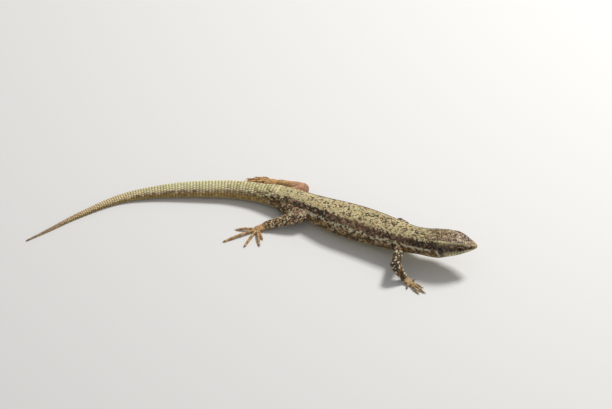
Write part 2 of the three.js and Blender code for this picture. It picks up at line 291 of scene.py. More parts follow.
def limb_lines(limb):
    """The two bones, the palm or sole, and the five digits of a limb."""
    kind = limb.split("_")[0]
    shape = LIMBS[limb]
    half = PALM[kind][2]
    thick = DIGIT_RADIUS[kind]
    root, bend, end = (np.array(j) for j in shape["joints"])
    palm = np.array([*shape["spread"], half - FLOOR_BITE / 2])
    digits = []
    for tip in shape["digits"]:
        away = np.array([*tip, 0]) - palm * (1, 1, 0)
        reach = np.linalg.norm(away)
        on_floor = thick * DIGIT_TIP - FLOOR_BITE / 2
        heights = [(0, palm[2]), (reach / 2, on_floor + KNUCKLE_RISE), (reach - CLAW["length"], on_floor)]
        digits.append(Line([palm * (1, 1, 0) + away / reach * d + (0, 0, h) for d, h in heights]))
    return Line([root, bend]), Line([bend, end]), Line([end, palm]), digits


def limb_tubes(limb):
    """Tubes for a limb's flesh, a little slimmer than its solids."""
    kind = limb.split("_")[0]
    r0, r1, r2, r3 = (r - HIDE_DEPTH * 0.7 for r in LIMBS[limb]["radii"])
    narrow, wide, half = PALM[kind]
    upper, lower, palm, digits = limb_lines(limb)
    thick = DIGIT_RADIUS[kind] - 0.04

    def muscle(t):
        """A bone's flesh is fullest in its first half and slims towards the next joint."""
        slim = 0.03 if kind == "foreleg" else 0.1
        return 1 - slim * np.sin(np.pi * np.clip((t - 0.3) / 0.7, 0, 1)) ** 2

    def sole(t):
        return narrow + (wide - narrow) * t - 0.05

    yield bar(upper, lambda t: (r0 + (r1 - r0) * t) * muscle(t))
    yield bar(lower, lambda t: (r2 + (r3 - r2) * t**SLIMMING) * muscle(t))
    yield bar(palm, sole, lambda t: (half - 0.04) / sole(t), rings=14)
    for digit in digits:
        joints = max(2, round(digit.length / 1.9))  # a knuckle at about every two millimetres

        def toe(t):
            knuckled = 1 + 0.07 * np.cos(2 * np.pi * joints * t)
            return thick * (DIGIT_ROOT + (DIGIT_TIP - DIGIT_ROOT) * t) * knuckled

        yield bar(digit, toe, sides=14, rings=24)


def joined(tubes):
    """One mesh of several bmeshes, which are used up, in metres."""
    mesh = bpy.data.meshes.new("tubes")
    whole = bmesh.new()
    for tube in tubes:
        tube.to_mesh(mesh)
        whole.from_mesh(mesh)
        tube.free()
    bmesh.ops.scale(whole, vec=(MM, MM, MM), verts=whole.verts)
    bmesh.ops.recalc_face_normals(whole, faces=whole.faces)
    whole.to_mesh(mesh)
    whole.free()
    return mesh


def add_piece(name, mesh, slot, material=None):
    """Shows a mesh as a piece of the animal."""
    mesh.name = name
    if material:
        mesh.materials.append(material)
    piece = bpy.data.objects.new(name, mesh)
    bpy.context.scene.collection.objects.link(piece)
    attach(piece, "root")
    return piece


def finished(piece):
    """Puts the result of a piece's modifiers in its mesh."""
    view = bpy.context.evaluated_depsgraph_get()
    view.update()
    mesh = bpy.data.meshes.new_from_object(piece.evaluated_get(view))
    piece.modifiers.clear()
    old, piece.data = piece.data, mesh
    bpy.data.meshes.remove(old)
    return mesh


TRUNK_SIDES, TRUNK_RINGS = 72, 330
RINGS_AHEAD = 1.35  # power that draws the rings closer together towards the head
VOXEL = 0.14
trunk = bent_tube(TRUNK_SIDES, TRUNK_RINGS, lambda t, angle: hide_point(TAIL_END * t**RINGS_AHEAD, angle))
flesh = [trunk, *(tube for limb in LIMBS for tube in limb_tubes(limb))]
hide = add_piece("hide", joined(flesh), "skin_back")
grow_together = hide.modifiers.new("grow_together", "REMESH")
grow_together.mode = "VOXEL"
grow_together.voxel_size = VOXEL * MM
finished(hide)
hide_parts(*[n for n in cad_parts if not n.startswith(("eye", "ear"))])


def places_of(mesh):
    """A mesh's corners, in millimetres."""
    places = np.empty(len(mesh.vertices) * 3, np.float32)
    mesh.vertices.foreach_get("co", places)
    return places.reshape(-1, 3).astype(float) / MM


def normals_of(mesh):
    """The way that each of a mesh's corners faces."""
    facing = np.empty(len(mesh.vertices) * 3, np.float32)
    mesh.vertices.foreach_get("normal", facing)
    return facing.reshape(-1, 3).astype(float)


def move_corners(mesh, places):
    """Puts a mesh's corners in these places, given in millimetres."""
    mesh.vertices.foreach_set("co", (places * MM).astype(np.float32).ravel())


def body_places(places):
    """For each place: how far behind the snout it is, its angle from the top in degrees, and how far it
    stands out from the trunk's own skin."""
    behind = backbone.nearest(places)
    middle, _, right, up = backbone.frame(behind)
    side, high = ((places - middle) * right).sum(1), ((places - middle) * up).sum(1)
    angle = np.arctan2(side, high)
    return behind, np.degrees(angle), np.hypot(side, high) - outline(behind, angle, HIDE_DEPTH)


# Flesh flows from the trunk into the limbs, and over each elbow and knee, with no crease.
JOINT_FLOW = {0: (3.0, 26), 1: (1.6, 10), 2: (1.3, 8)}  # for each joint: how far it flows, and how much
shaped = bmesh.new()
shaped.from_mesh(hide.data)
places = places_of(hide.data)
shaped.verts.ensure_lookup_table()
for limb, shape in LIMBS.items():
    for number, (reach, times) in JOINT_FLOW.items():
        gap = np.linalg.norm(places - shape["joints"][number], axis=1)
        for step in range(times):
            near = np.flatnonzero(gap < reach * (1 - 0.35 * step / times))
            soft = [shaped.verts[i] for i in near]
            bmesh.ops.smooth_vert(
                shaped, verts=soft, factor=0.5, use_axis_x=True, use_axis_y=True, use_axis_z=True)

# The face is worked finer than the rest: round the eyes, ears and nostrils and along the mouth.
MOUTH = [(0.35, -0.64), (1.5, -0.82), (3.0, -1.05), (4.6, -1.28), (6.4, -1.55), (7.9, -1.72), (8.8, -1.62)]
NOSTRIL = (1.35, 66)
SIDES = {"right": 1, "left": -1}


def head_place(behind, degrees, inside=HIDE_DEPTH):
    """A place on the head's smooth outline."""
    behind, angle = np.atleast_1d(behind).astype(float), np.radians(np.atleast_1d(degrees).astype(float))
    middle, _, right, up = backbone.frame(behind)
    out = np.cos(angle)[:, None] * up + np.sin(angle)[:, None] * right
    return middle + out * outline(behind, angle, inside)[:, None]


def at_height(behind, high):
    """The angle, in degrees, at which the head's right side is this high above the backbone."""
    angles = np.radians(np.arange(60, 170, 0.5))
    heights = outline(np.full(len(angles), float(behind)), angles, HIDE_DEPTH) * np.cos(angles)
    return np.degrees(np.interp(-high, -heights, angles))


MOUTH_LINE = [(behind, float(at_height(behind, high))) for behind, high in MOUTH]
front = np.arange(0.02, 0.35, 0.01)
under_tip = outline(front, np.full(len(front), math.pi), HIDE_DEPTH)
MOUTH_LINE.insert(0, (float(np.interp(-MOUTH[0][1], under_tip, front)), 180))  # the two sides meet here


def middle_of(node):
    low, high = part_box(node)
    return np.array((low + high) / 2) / MM


def axes_at(place):
    """The ways forwards, right and up of the body beside a place."""
    return [v[0] for v in backbone.frame(backbone.nearest(place[None]))[1:]]


def along_axes(places, middle, *axes):
    """How far each place is from the middle along each axis."""
    return ((places - middle) @ np.stack(axes, 1)).T


def dense(spots, side):
    """Close places along a line of (distance behind the snout, degrees) on one side of the head."""
    spots = np.array(spots, float)
    t = np.linspace(0, len(spots) - 1, 12 * len(spots))
    behind, degrees = (np.interp(t, np.arange(len(spots)), column) for column in spots.T)
    return head_place(behind, degrees * side)


def gap_to(places, targets):
    """How far each place is from the nearest of a few targets."""
    return np.min([np.linalg.norm(places - target, axis=1) for target in targets], axis=0)


FINE_ROUND = {"eye": 2.5, "ear": 2.1, "line": 0.5}
places = np.array([v.co for v in shaped.verts]) / MM
fine = np.zeros(len(places), bool)
for name, side in SIDES.items():
    for part in ("eye", "ear"):
        fine |= np.linalg.norm(places - middle_of(f"{part}_{name}"), axis=1) < FINE_ROUND[part]
    for line in ([NOSTRIL], MOUTH_LINE):
        fine |= gap_to(places, dense(line, side)) < FINE_ROUND["line"]
within = [e for e in shaped.edges if fine[e.verts[0].index] and fine[e.verts[1].index]]
bmesh.ops.subdivide_edges(shaped, edges=within, cuts=2, use_grid_fill=True, smooth=0)
shaped.normal_update()
shaped.to_mesh(hide.data)
shaped.free()

# Ridges, swellings, folds and furrows of the head and neck, on the right and the left alike: the line of
# (distance behind the snout, degrees from the top), how far they reach to each side, and their lift.
FORMS = [
    ([(1.2, 52), (2.4, 49), (3.6, 46)], 0.5, 0.08),  # ridge from the nostril to the brow
    ([(3.5, 47), (4.6, 45.5), (5.8, 45), (7.0, 47)], 0.7, 0.13),  # brow
    ([(4.2, 26), (6.2, 27)], 1.3, 0.1),  # disc above the eye
    ([(3.8, 0), (7.0, 0)], 0.8, -0.14),  # hollow between the two discs
    ([(2.3, 72), (3.2, 76)], 0.8, -0.16),  # hollow in front of the eye
    ([(6.8, 74), (8.6, 72)], 1.2, -0.1),  # hollow of the temple
    ([(8.2, 100), (9.8, 103)], 1.7, 0.22),  # muscle of the jaw
    ([(9.5, 45), (12.5, 48)], 0.9, 0.08),  # edge of the skull above the ear
    ([(11.9, 84), (12.1, 96), (11.8, 108)], 0.5, 0.1),  # fold behind the ear
    ([(13.5, 80), (15.5, 92), (18, 98)], 0.8, -0.12),  # furrow of the neck
    ([(13.5, 64), (16.5, 70), (20, 74)], 0.9, 0.1),  # fold along the neck
    ([(1.0, 96), (3.0, 100), (5.5, 104), (8.0, 107)], 0.5, 0.06),  # upper lip
    ([(1.6, 121), (4.0, 124), (7.5, 124)], 0.6, 0.05),  # lower lip
    (MOUTH_LINE, 0.16, -0.2),  # the mouth, shut
    ([NOSTRIL, (1.42, 66)], 0.24, -0.36),
    ([(1.7, 60), (1.3, 56)], 0.3, 0.06),  # rim of the nostril
]
places = places_of(hide.data)
outward = normals_of(hide.data)
behind, _, _ = body_places(places)
head = np.flatnonzero(behind < 24)
lift = np.zeros((2, len(head)))
for number, side in enumerate(SIDES.values()):
    for spots, reach, high in FORMS:
        gap = gap_to(places[head], dense(spots, side))
        lift[number] += high * np.clip(1 - (gap / reach) ** 2, 0, 1) ** 2
# the two sides meet on the middle line, where the larger lift of the two holds
lift = np.where(np.abs(lift[0]) > np.abs(lift[1]), lift[0], lift[1])
places[head] += outward[head] * lift[:, None]

# Eyes and lids. Each lid is drawn over the ball, ends in a rim a little above it and leaves an almond open.
# Half sizes are along the head, out of it, and up.
EYEBALL = np.array([1.3, 1.12, 1.2])
EYE_SUNK = 0.2  # how much deeper the ball sits than its solid
OPENING = {"long": 1.24, "upper": 0.74, "lower": 0.7}
LID = 0.11
EYE_TURN, EYE_TILT = 0.14, 0.1  # how far the eye looks ahead and up


def eye_axes(side):
    """The middle of an eye, and its axes: ahead, out and up."""
    name = "right" if side > 0 else "left"
    middle = middle_of(f"eye_{name}")
    forward, right, up = axes_at(middle)
    out = right * side + forward * EYE_TURN + up * EYE_TILT
    out /= np.linalg.norm(out)
    ahead = forward - out * (forward @ out)
    ahead /= np.linalg.norm(ahead)
    return middle - out * EYE_SUNK, ahead, out, np.cross(ahead, out) * -side


def beyond_opening(u, v):
    """How far a place is outside the almond between the lids, and below 0 within it."""
    tall = np.where(v > 0, OPENING["upper"], OPENING["lower"])
    rim = tall * (1 - np.clip(np.abs(u) / OPENING["long"], 0, 1) ** 2.2)
    corner = np.hypot(np.maximum(np.abs(u) - OPENING["long"], 0), v * 0.8)
    return np.where(np.abs(u) < OPENING["long"], (np.abs(v) - rim) * 0.8, corner)


for side in SIDES.values():
    middle, ahead, out, up = eye_axes(side)
    near = np.flatnonzero(np.linalg.norm(places - middle, axis=1) < 2.9)
    u, depth, v = along_axes(places[near], middle, ahead, out, up)
    past = beyond_opening(u, v)
    ball = EYEBALL[1] * np.sqrt(np.clip(1 - (u / EYEBALL[0]) ** 2 - (v / EYEBALL[2]) ** 2, 0, 1))
    wider = EYEBALL + LID * 1.3
    lid = wider[1] * np.sqrt(np.clip(1 - (u / wider[0]) ** 2 - (v / wider[2]) ** 2, 0.12, 1))
    lid -= 0.05 * np.exp(-((past - 0.42) / 0.07) ** 2)  # the fold of the lid
    lid += 0.04 * np.exp(-((past - 0.1) / 0.09) ** 2)  # its thick rim
    drawn = 1 - soft_step(past, 0.3, 1.15)
    new = depth + (lid - depth) * drawn
    within = 1 - soft_step(past, -0.05, 0.03)
    new = new + (ball - 0.35 - new) * within
    facing = depth > 0
    places[near] += ((new - depth) * facing)[:, None] * out

# Ears: an open oval with a soft rim, which ends at the eardrum.
EAR = {"long": 0.62, "tall": 1.12, "deep": 0.62}


def ear_oval(u, v):
    """1 on the edge of the ear's opening, and less within it. It leans a little."""
    return np.hypot((u + 0.12 * v) / EAR["long"], v / EAR["tall"])


for name, side in SIDES.items():
    middle = middle_of(f"ear_{name}")
    forward, right, up = axes_at(middle)
    near = np.flatnonzero(np.linalg.norm(places - middle, axis=1) < 2.6)
    u, depth, v = along_axes(places[near], middle, forward, right * side, up)
    oval = ear_oval(u, v)
    sunk = (1 - soft_step(oval, 0.72, 1.05)) * (depth > -0.2)
    rim = 0.09 * np.exp(-((oval - 1.28) / 0.16) ** 2) * (depth > -0.2)
    places[near] += (rim - EAR["deep"] * sunk)[:, None] * (right * side)

places[:, 2] = np.maximum(places[:, 2], FLOOR_REST)
move_corners(hide.data, places)
hide.data.update()

HIDE_TRIANGLES = 190000
thin_out = hide.modifiers.new("thin_out", "DECIMATE")
thin_out.ratio = HIDE_TRIANGLES / sum(len(p.vertices) - 2 for p in hide.data.polygons)
finished(hide)
hide.data.shade_smooth()


LIMB_KIND = {"foreleg_right": 0.0, "foreleg_left": 0.0, "hindleg_right": 1.0, "hindleg_left": 2.0}


def along_limbs(places):
    """For each place: how far out along the nearest limb it is, from 0 at its root to 4 at its claws, and
    whether that is a foreleg (0), the right hind leg (1) or the left one (2)."""
    best = np.full(len(places), np.inf)
    reach, kind = np.zeros(len(places)), np.zeros(len(places))
    for limb in LIMBS:
        upper, lower, palm, digits = limb_lines(limb)
        for start, line in [(0, upper), (1, lower), (2, palm), *((3, digit) for digit in digits)]:
            at = np.clip(line.nearest(places), 0, line.length)
            gap = np.linalg.norm(places - line.at(at), axis=1)
            nearer = gap < best
            best = np.where(nearer, gap, best)
            reach = np.where(nearer, start + at / line.length, reach)
            kind = np.where(nearer, LIMB_KIND[limb], kind)
    return reach, kind


def keep(mesh, name, values):
    """Keeps a number or a vector for every corner of a mesh."""
    kind, field = ("FLOAT", "value") if values.ndim == 1 else ("FLOAT_VECTOR", "vector")
    kept = mesh.attributes.new(name, kind, "POINT")
    kept.data.foreach_set(field, values.astype(np.float32).ravel())


def write_lie(mesh, roots, grain, each=None):
    """Keeps on a mesh what its markings follow: the place along the body and round it, the place along the
    limbs, and the root itself. each gives the root of every corner."""
    behind, angle, out = body_places(roots)
    share = soft_step(out, 0.15, 0.8)
    reach, kind = np.zeros(len(roots)), np.zeros(len(roots))
    reach[share > 0], kind[share > 0] = along_limbs(roots[share > 0])
    lie = np.stack([behind, angle, grain], 1)
    limb = np.stack([share, reach, kind], 1)
    # side is the angle without its sign, which has no jump where right and left meet underneath
    for name, values in (("lie", lie), ("limb", limb), ("root", roots), ("side", np.abs(angle))):
        keep(mesh, name, values if each is None else values[each])


def paint(red, green, blue):
    """A colour as a screen shows it, 0 to 255, as the light that it reflects."""
    shown = np.array([red, green, blue]) / 255
    linear = np.where(shown <= 0.04045, shown / 12.92, ((shown + 0.055) / 1.055) ** 2.4)
    return (*linear.tolist(), 1.0)


class Recipe:
    """Builds a node tree step by step. A value is a number, or what an earlier step gives."""

    def __init__(self, tree):
        self.tree = tree

    def node(self, kind, inputs, output=0, **settings):
        made = self.tree.nodes.new("ShaderNode" + kind)
        for key, value in settings.items():
            setattr(made, key, value)
        for key, value in inputs.items():
            if isinstance(value, bpy.types.NodeSocket):
                self.tree.links.new(value, made.inputs[key])
            else:
                made.inputs[key].default_value = value
        return made.outputs[output]

    def link(self, value, node, socket):
        self.tree.links.new(value, node.inputs[socket])

    def math(self, operation, *values):
        return self.node("Math", dict(enumerate(values)), operation=operation)

    def plus(self, a, b):
        return self.math("ADD", a, b)

    def minus(self, a, b):
        return self.math("SUBTRACT", a, b)

    def times(self, a, b):
        return self.math("MULTIPLY", a, b)

    def step(self, value, low, high):
        """0 at low, 1 at high and an S curve between. low may be the greater of the two."""
        inputs = {"Value": value, "From Min": low, "From Max": high}
        return self.node("MapRange", inputs, interpolation_type="SMOOTHSTEP")

    def near(self, value, middle, reach, soft):
        """1 where a value is within reach of the middle, fading over soft."""
        gap = self.math("ABSOLUTE", self.minus(value, middle))
        return self.step(gap, reach + soft, reach)

    def both(self, *masks):
        whole = masks[0]
        for mask in masks[1:]:
            whole = self.times(whole, mask)
        return whole

    def mix(self, share, a, b):
        return self.node("Mix", {0: share, 6: a, 7: b}, 2, data_type="RGBA")

    def over(self, under, colour, *masks):
        """A colour laid over what is under it, where every mask lets it."""
        return self.mix(self.both(*masks), under, paint(*colour))

    def noise(self, vector, scale, detail=2.0):
        """Noise spread to about 0 to 1."""
        value = self.node("TexNoise", {"Vector": vector, "Scale": scale, "Detail": detail})
        return self.step(value, 0.25, 0.75)

    def cells(self, vector, scale):
        """Distance from the middle of the nearest of many scattered cells."""
        return self.node("TexVoronoi", {"Vector": vector, "Scale": scale}, "Distance")

    def tiles(self, vector):
        """Three numbers from 0 to 1, each the same all over one of many small cells."""
        colour = self.node("TexVoronoi", {"Vector": vector, "Scale": 1.0}, "Color")
        return self.node("SeparateXYZ", {0: colour}).node.outputs

    def along(self, value, total, spots):
        """A number that follows a value from 0 to total, given at a few spots and kept within 180 of 0."""
        made = self.tree.nodes.new("ShaderNodeFloatCurve")
        curve = made.mapping.curves[0]
        points = [(at / total, 0.5 + high / 360) for at, high in spots]
        curve.points[0].location, curve.points[1].location = points[0], points[-1]
        for point in points[1:-1]:
            curve.points.new(*point)
        made.mapping.update()
        self.tree.links.new(self.math("DIVIDE", value, total), made.inputs["Value"])
        return self.times(self.minus(made.outputs[0], 0.5), 360.0)

    def ramp(self, value, total, stops):
        """A colour that follows a value from 0 to total."""
        made = self.tree.nodes.new("ShaderNodeValToRGB")
        bar = made.color_ramp.elements
        while len(bar) < len(stops):
            bar.new(0.5)
        for element, (at, colour) in zip(bar, stops):
            element.position = at / total
        for element, (at, colour) in zip(bar, stops):
            element.color = paint(*colour)
        self.tree.links.new(self.math("DIVIDE", value, total), made.inputs[0])
        return made.outputs[0]


# Markings, with some painted shade and painted light among them, shared by the hide and by all its scales.
# They
# follow the body: distance behind the snout, angle from the top, and on the limbs the way from shoulder or
# hip to claw. Distances in millimetres.
markings_and_painted_light = bpy.data.node_groups.new("markings_and_painted_light", "ShaderNodeTree")
for name, kind, direction in (("Lie", "NodeSocketVector", "INPUT"), ("Limb", "NodeSocketVector", "INPUT"),
                              ("Root", "NodeSocketVector", "INPUT"), ("Side", "NodeSocketFloat", "INPUT"),
                              ("Color", "NodeSocketColor", "OUTPUT"),
                              ("Roughness", "NodeSocketFloat", "OUTPUT")):
    markings_and_painted_light.interface.new_socket(name, in_out=direction, socket_type=kind)
given = markings_and_painted_light.nodes.new("NodeGroupInput")
shown = markings_and_painted_light.nodes.new("NodeGroupOutput")
r = Recipe(markings_and_painted_light)
lie = r.node("SeparateXYZ", {0: given.outputs["Lie"]}).node
limb = r.node("SeparateXYZ", {0: given.outputs["Limb"]}).node
behind, turn, grain = lie.outputs
on_limb, reach, hind = limb.outputs
root = given.outputs["Root"]
side = given.outputs["Side"]
coarse, middling, small = r.noise(root, 0.3), r.noise(root, 0.85), r.noise(root, 2.1)

GROUND = [(0, (140, 120, 82)), (2, (158, 134, 98)), (5, (160, 136, 110)), (10, (162, 138, 106)),
          (15, (188, 166, 120)), (24, (214, 188, 134)), (42, (230, 206, 150)), (58, (246, 222, 170)),
          (78, (240, 232, 174)), (100, (250, 244, 192)), (118, (246, 228, 176)), (136, (232, 200, 152)),
          (150, (184, 152, 126)), (157, (140, 122, 108))]
body = r.ramp(behind, TAIL_END, GROUND)
green = r.both(r.step(coarse, 0.3, 0.9), r.near(behind, 70, 40, 16), 0.3)
body = r.over(body, (188, 188, 130), green)
body = r.over(body, (236, 216, 168), r.step(middling, 0.5, 0.9), 0.55)

# the back is a mosaic of pale, ochre, greenish and dark dots, each two or three scales wide
dots = r.tiles(r.node("CombineXYZ", {0: r.times(behind, 1.6), 1: r.times(turn, 0.165), 2: 0.0}))
on_back = r.both(r.step(behind, 10.5, 14), r.step(behind, 90, 74))
body = r.over(body, (206, 160, 98), r.step(dots[1], 0.6, 0.62), on_back, 0.5)
body = r.over(body, (176, 188, 124), r.step(dots[1], 0.26, 0.24), on_back, 0.4)
body = r.over(body, (255, 240, 186), r.step(dots[0], 0.66, 0.68), on_back, 0.75)
dark_share = r.minus(0.45, r.times(behind, 0.0055))
dark_dots = r.step(dots[0], dark_share, r.minus(dark_share, 0.02))
body = r.over(body, (76, 56, 38), dark_dots, on_back, 0.72)
dotted = r.both(r.step(grain, 0.18, 0.16), r.step(behind, 13, 18), r.step(behind, 118, 90))
body = r.over(body, (255, 244, 200), dotted, 0.7)
# over it lie dark flecks, drawn out lengthwise, and a row of larger spots down the middle
strewn = r.node("CombineXYZ", {0: r.times(behind, 0.6), 1: r.times(turn, 0.08), 2: 0.0})
fleck_size = r.minus(0.45, r.times(behind, 0.0026))
fleck = r.step(r.cells(strewn, 1.0), fleck_size, r.minus(fleck_size, 0.09))
kept = r.both(fleck, r.step(behind, 11, 14), r.step(behind, 84, 64), r.step(r.noise(root, 0.55), 0.05, 0.3))
body = r.over(body, (64, 46, 34), kept, 0.88)
waves = r.math("SINE", r.plus(r.times(behind, 3.7), r.times(coarse, 9.0)))
wander = r.plus(turn, r.times(r.minus(middling, 0.5), 14.0))
spine = r.both(r.step(waves, 0.35, 0.75), r.near(wander, -4, 4, 4), r.near(behind, 48, 17, 4))
body = r.over(body, (66, 48, 36), spine, 0.85)
rings = r.math("SINE", r.times(behind, 2.05))
tail_spots = r.both(r.step(rings, 0.45, 0.8), r.near(side, 26, 12, 5), r.near(behind, 79, 7, 5),
                    r.step(small, 0.35, 0.6))
body = r.over(body, (108, 82, 56), tail_spots, 0.35)

# the dark band along the flank, between two edges, with a pale line above it
UPPER_EDGE = [(0, 56), (9, 54), (12, 49), (16, 52), (20, 45), (30, 44), (40, 42), (50, 39), (60, 37),
              (72, 37), (84, 48), (100, 50), (157, 50)]
LOWER_EDGE = [(0, 74), (9, 80), (12, 82), (16, 82), (20, 75), (25, 67), (34, 70), (45, 65), (56, 61),
              (72, 66), (84, 68), (100, 70), (157, 74)]
ragged = r.times(r.noise(root, 1.4), 14.0)
upper_edge = r.minus(r.along(behind, TAIL_END, UPPER_EDGE), ragged)
upper_edge = r.plus(upper_edge, 6.0)
lower_edge = r.plus(r.along(behind, TAIL_END, LOWER_EDGE), r.times(middling, 10.0))
lower_edge = r.minus(lower_edge, 5.0)
above = r.minus(side, upper_edge)
below = r.minus(side, lower_edge)
pale_line = r.both(r.near(above, -4.0, 2.5, 2.5), r.near(behind, 20, 15, 6))
body = r.over(body, (218, 206, 156), pale_line, 0.7)
pale_edge = r.both(r.near(above, -3.5, 2.5, 2.5), r.near(behind, 50, 24, 10), r.step(middling, 0.2, 0.6))
body = r.over(body, (222, 204, 150), pale_edge, 0.5)

# the flank below the band: olive mottling with pale spots, then the yellowish belly
flank = r.mix(r.step(middling, 0.2, 0.8), paint(116, 88, 50), paint(214, 176, 118))
flank = r.over(flank, (46, 32, 22), r.step(r.noise(root, 1.2), 0.5, 0.7), 0.75)
flank = r.over(flank, (226, 208, 168), r.step(r.cells(root, 0.62), 0.36, 0.28), 0.85)
pale_row = r.both(r.near(below, 7, 4.5, 3), r.step(r.noise(root, 0.75), 0.3, 0.5),
                  r.near(behind, 38, 18, 5))
flank = r.over(flank, (250, 238, 204), pale_row, r.step(dots[2], 0.12, 0.14), 0.95)
flank = r.over(flank, (46, 34, 25), r.step(dots[2], 0.2, 0.18), 0.5)
# painted shade: the flank is darkened low down, where it turns under towards the belly
low_flank_shade = r.both(r.near(side, 104, 9, 6), r.near(behind, 40, 18, 6), 0.3)
flank = r.over(flank, (58, 48, 32), low_flank_shade)
flank_share = r.both(r.step(below, -2, 3), r.step(behind, 8, 12))
body = r.mix(flank_share, body, flank)
tail_flank = r.mix(middling, paint(150, 120, 64), paint(214, 182, 114))
body = r.mix(r.both(r.step(side, 66, 78), r.step(behind, 70, 78)), body, tail_flank)
belly_share = r.both(r.step(side, 112, 124), r.step(behind, 18, 22))
body = r.mix(belly_share, body, r.mix(small, paint(196, 178, 126), paint(216, 202, 156)))

# the band itself, full as far as the hips, broken on the root of the tail
band = r.mix(r.step(r.noise(root, 1.3), 0.3, 0.7), paint(34, 22, 18), paint(122, 90, 70))
band = r.over(band, (150, 118, 92), r.near(behind, 42, 6, 5), 0.4)
band = r.over(band, (26, 18, 14), r.math("MAXIMUM", r.step(behind, 23, 16), r.near(behind, 54, 4, 3)), 0.8)
band = r.over(band, (176, 136, 106), r.step(dots[0], 0.76, 0.78), 0.5)
band = r.over(band, (22, 15, 12), r.step(dots[0], 0.2, 0.18), 0.6)
band_spots = r.both(r.step(r.cells(root, 0.8), 0.36, 0.28), r.step(behind, 12, 24), 0.75)
band = r.over(band, (198, 160, 124), band_spots)
rust = r.both(r.step(r.cells(root, 0.7), 0.34, 0.26), r.near(behind, 35.5, 3.5, 2), r.step(side, 66, 62))
band = r.over(band, (184, 96, 52), rust, 0.8)
band_share = r.both(r.step(above, -2, 2), r.step(below, 2, -2), r.step(behind, 10.5, 12.5))
broken = r.step(r.plus(middling, r.times(small, 0.5)), 0.55, 0.8)
full = r.step(behind, 70, 60)
present = r.math("MAXIMUM", full, r.both(broken, r.step(behind, 90, 78)))
body = r.mix(r.both(band_share, present, 0.95), body, band)
tail_band = r.both(r.near(side, 58, 11, 5), r.near(behind, 101, 16, 8), 0.55)
body = r.mix(tail_band, body, r.mix(middling, paint(206, 158, 116), paint(246, 216, 176)))
tail_line = r.both(r.near(side, 59, 3.0, 4.0), r.near(behind, 100, 17, 4), r.step(small, 0.0, 0.5))
body = r.over(body, (84, 56, 38), tail_line, 0.7)
under_tail = r.both(r.step(side, 118, 145), r.step(behind, 70, 74))
body = r.over(body, (206, 186, 140), under_tail, 0.8)

# the head: worm-like dark lines on the crown, a dark mask through the eye, barred lips
on_crown = r.both(r.step(side, 50, 42), r.near(behind, 7.4, 5.4, 3.4))
tawny = r.both(r.step(r.noise(root, 1.2, 4.0), 0.4, 0.8), on_crown, 0.45)
body = r.over(body, (200, 148, 100), tawny)
cream = r.both(r.step(r.noise(root, 1.45, 5.0), 0.5, 0.85), on_crown, 0.6)
body = r.over(body, (226, 206, 166), cream)
lilac = r.both(r.step(r.noise(root, 1.25, 4.0), 0.45, 0.75), r.near(side, 38, 7, 5),
               r.near(behind, 6.5, 3.5, 2), 0.5)
body = r.over(body, (178, 160, 176), lilac)
crown = r.both(r.step(r.noise(root, 1.9, 9.0), 0.36, 0.8), on_crown)
body = r.over(body, (62, 45, 36), crown)
peppered = r.both(r.step(r.noise(root, 5.5, 3.0), 0.55, 0.75), r.step(side, 56, 44),
                  r.step(behind, 13, 10.5), 0.5)
body = r.over(body, (58, 42, 34), peppered)
tip = r.both(r.step(behind, 1.6, 0.7), 0.4)
body = r.over(body, (166, 150, 86), tip)
mask_share = r.both(r.near(side, 76, 14, 5), r.near(behind, 6.2, 4.6, 1.2), 0.85)
mask = r.mix(r.step(r.noise(root, 1.5), 0.35, 0.7), paint(40, 29, 25), paint(140, 116, 100))
body = r.mix(mask_share, body, mask)
lid_far = r.math("POWER", r.math("DIVIDE", r.minus(behind, 4.9), 1.15), 2.0)
lid_high = r.math("POWER", r.math("DIVIDE", r.minus(side, 77.0), 11.5), 2.0)
pale_lid = r.both(r.near(r.plus(lid_far, lid_high), 1.0, 0.3, 0.4), r.step(small, 0.0, 0.4), 0.7)
body = r.over(body, (214, 196, 150), pale_lid)
brow_line = r.both(r.near(side, 47, 2.2, 2.0), r.near(behind, 8.0, 4.0, 1.5))
body = r.over(body, (226, 218, 156), brow_line, r.step(small, 0.1, 0.5), 0.9)
violet = r.both(r.near(side, 54, 1.8, 1.5), r.near(behind, 7.0, 1.1, 0.6), 0.7)
body = r.over(body, (98, 80, 104), violet)
cheek_patch = r.both(r.near(side, 65, 2.5, 2), r.near(behind, 7.3, 0.35, 0.3))
body = r.over(body, (214, 172, 112), cheek_patch)
lips_share = r.both(r.step(side, 88, 96), r.step(behind, 10.0, 9.0))
bars = r.math("SINE", r.times(behind, 6.9))
lips = r.mix(r.both(r.step(r.plus(bars, small), 0.8, 1.3), 0.4), paint(216, 204, 158), paint(66, 54, 38))
body = r.mix(lips_share, body, lips)
jaw_share = r.both(r.step(side, 122, 128), r.step(behind, 13, 10))
jaw = r.mix(r.step(small, 0.4, 0.75), paint(176, 162, 124), paint(92, 80, 56))
body = r.mix(jaw_share, body, jaw)
mouth = r.along(behind, 20.0, [(0, 180), *[(at, angle) for at, angle in MOUTH_LINE], (9.2, 108), (20, 108)])
mouth_crease_shade = r.both(r.near(side, mouth, 1.4, 1.2), r.step(behind, 9.0, 8.4), r.step(grain, 0.51, 0.505))
throat_share = r.both(r.step(side, 138, 160), r.step(behind, 24, 20))
body = r.over(body, (206, 194, 154), throat_share, 0.9)
# painted shade: a dark line along the crease of the shut mouth
body = r.over(body, (34, 24, 20), mouth_crease_shade, 0.9)
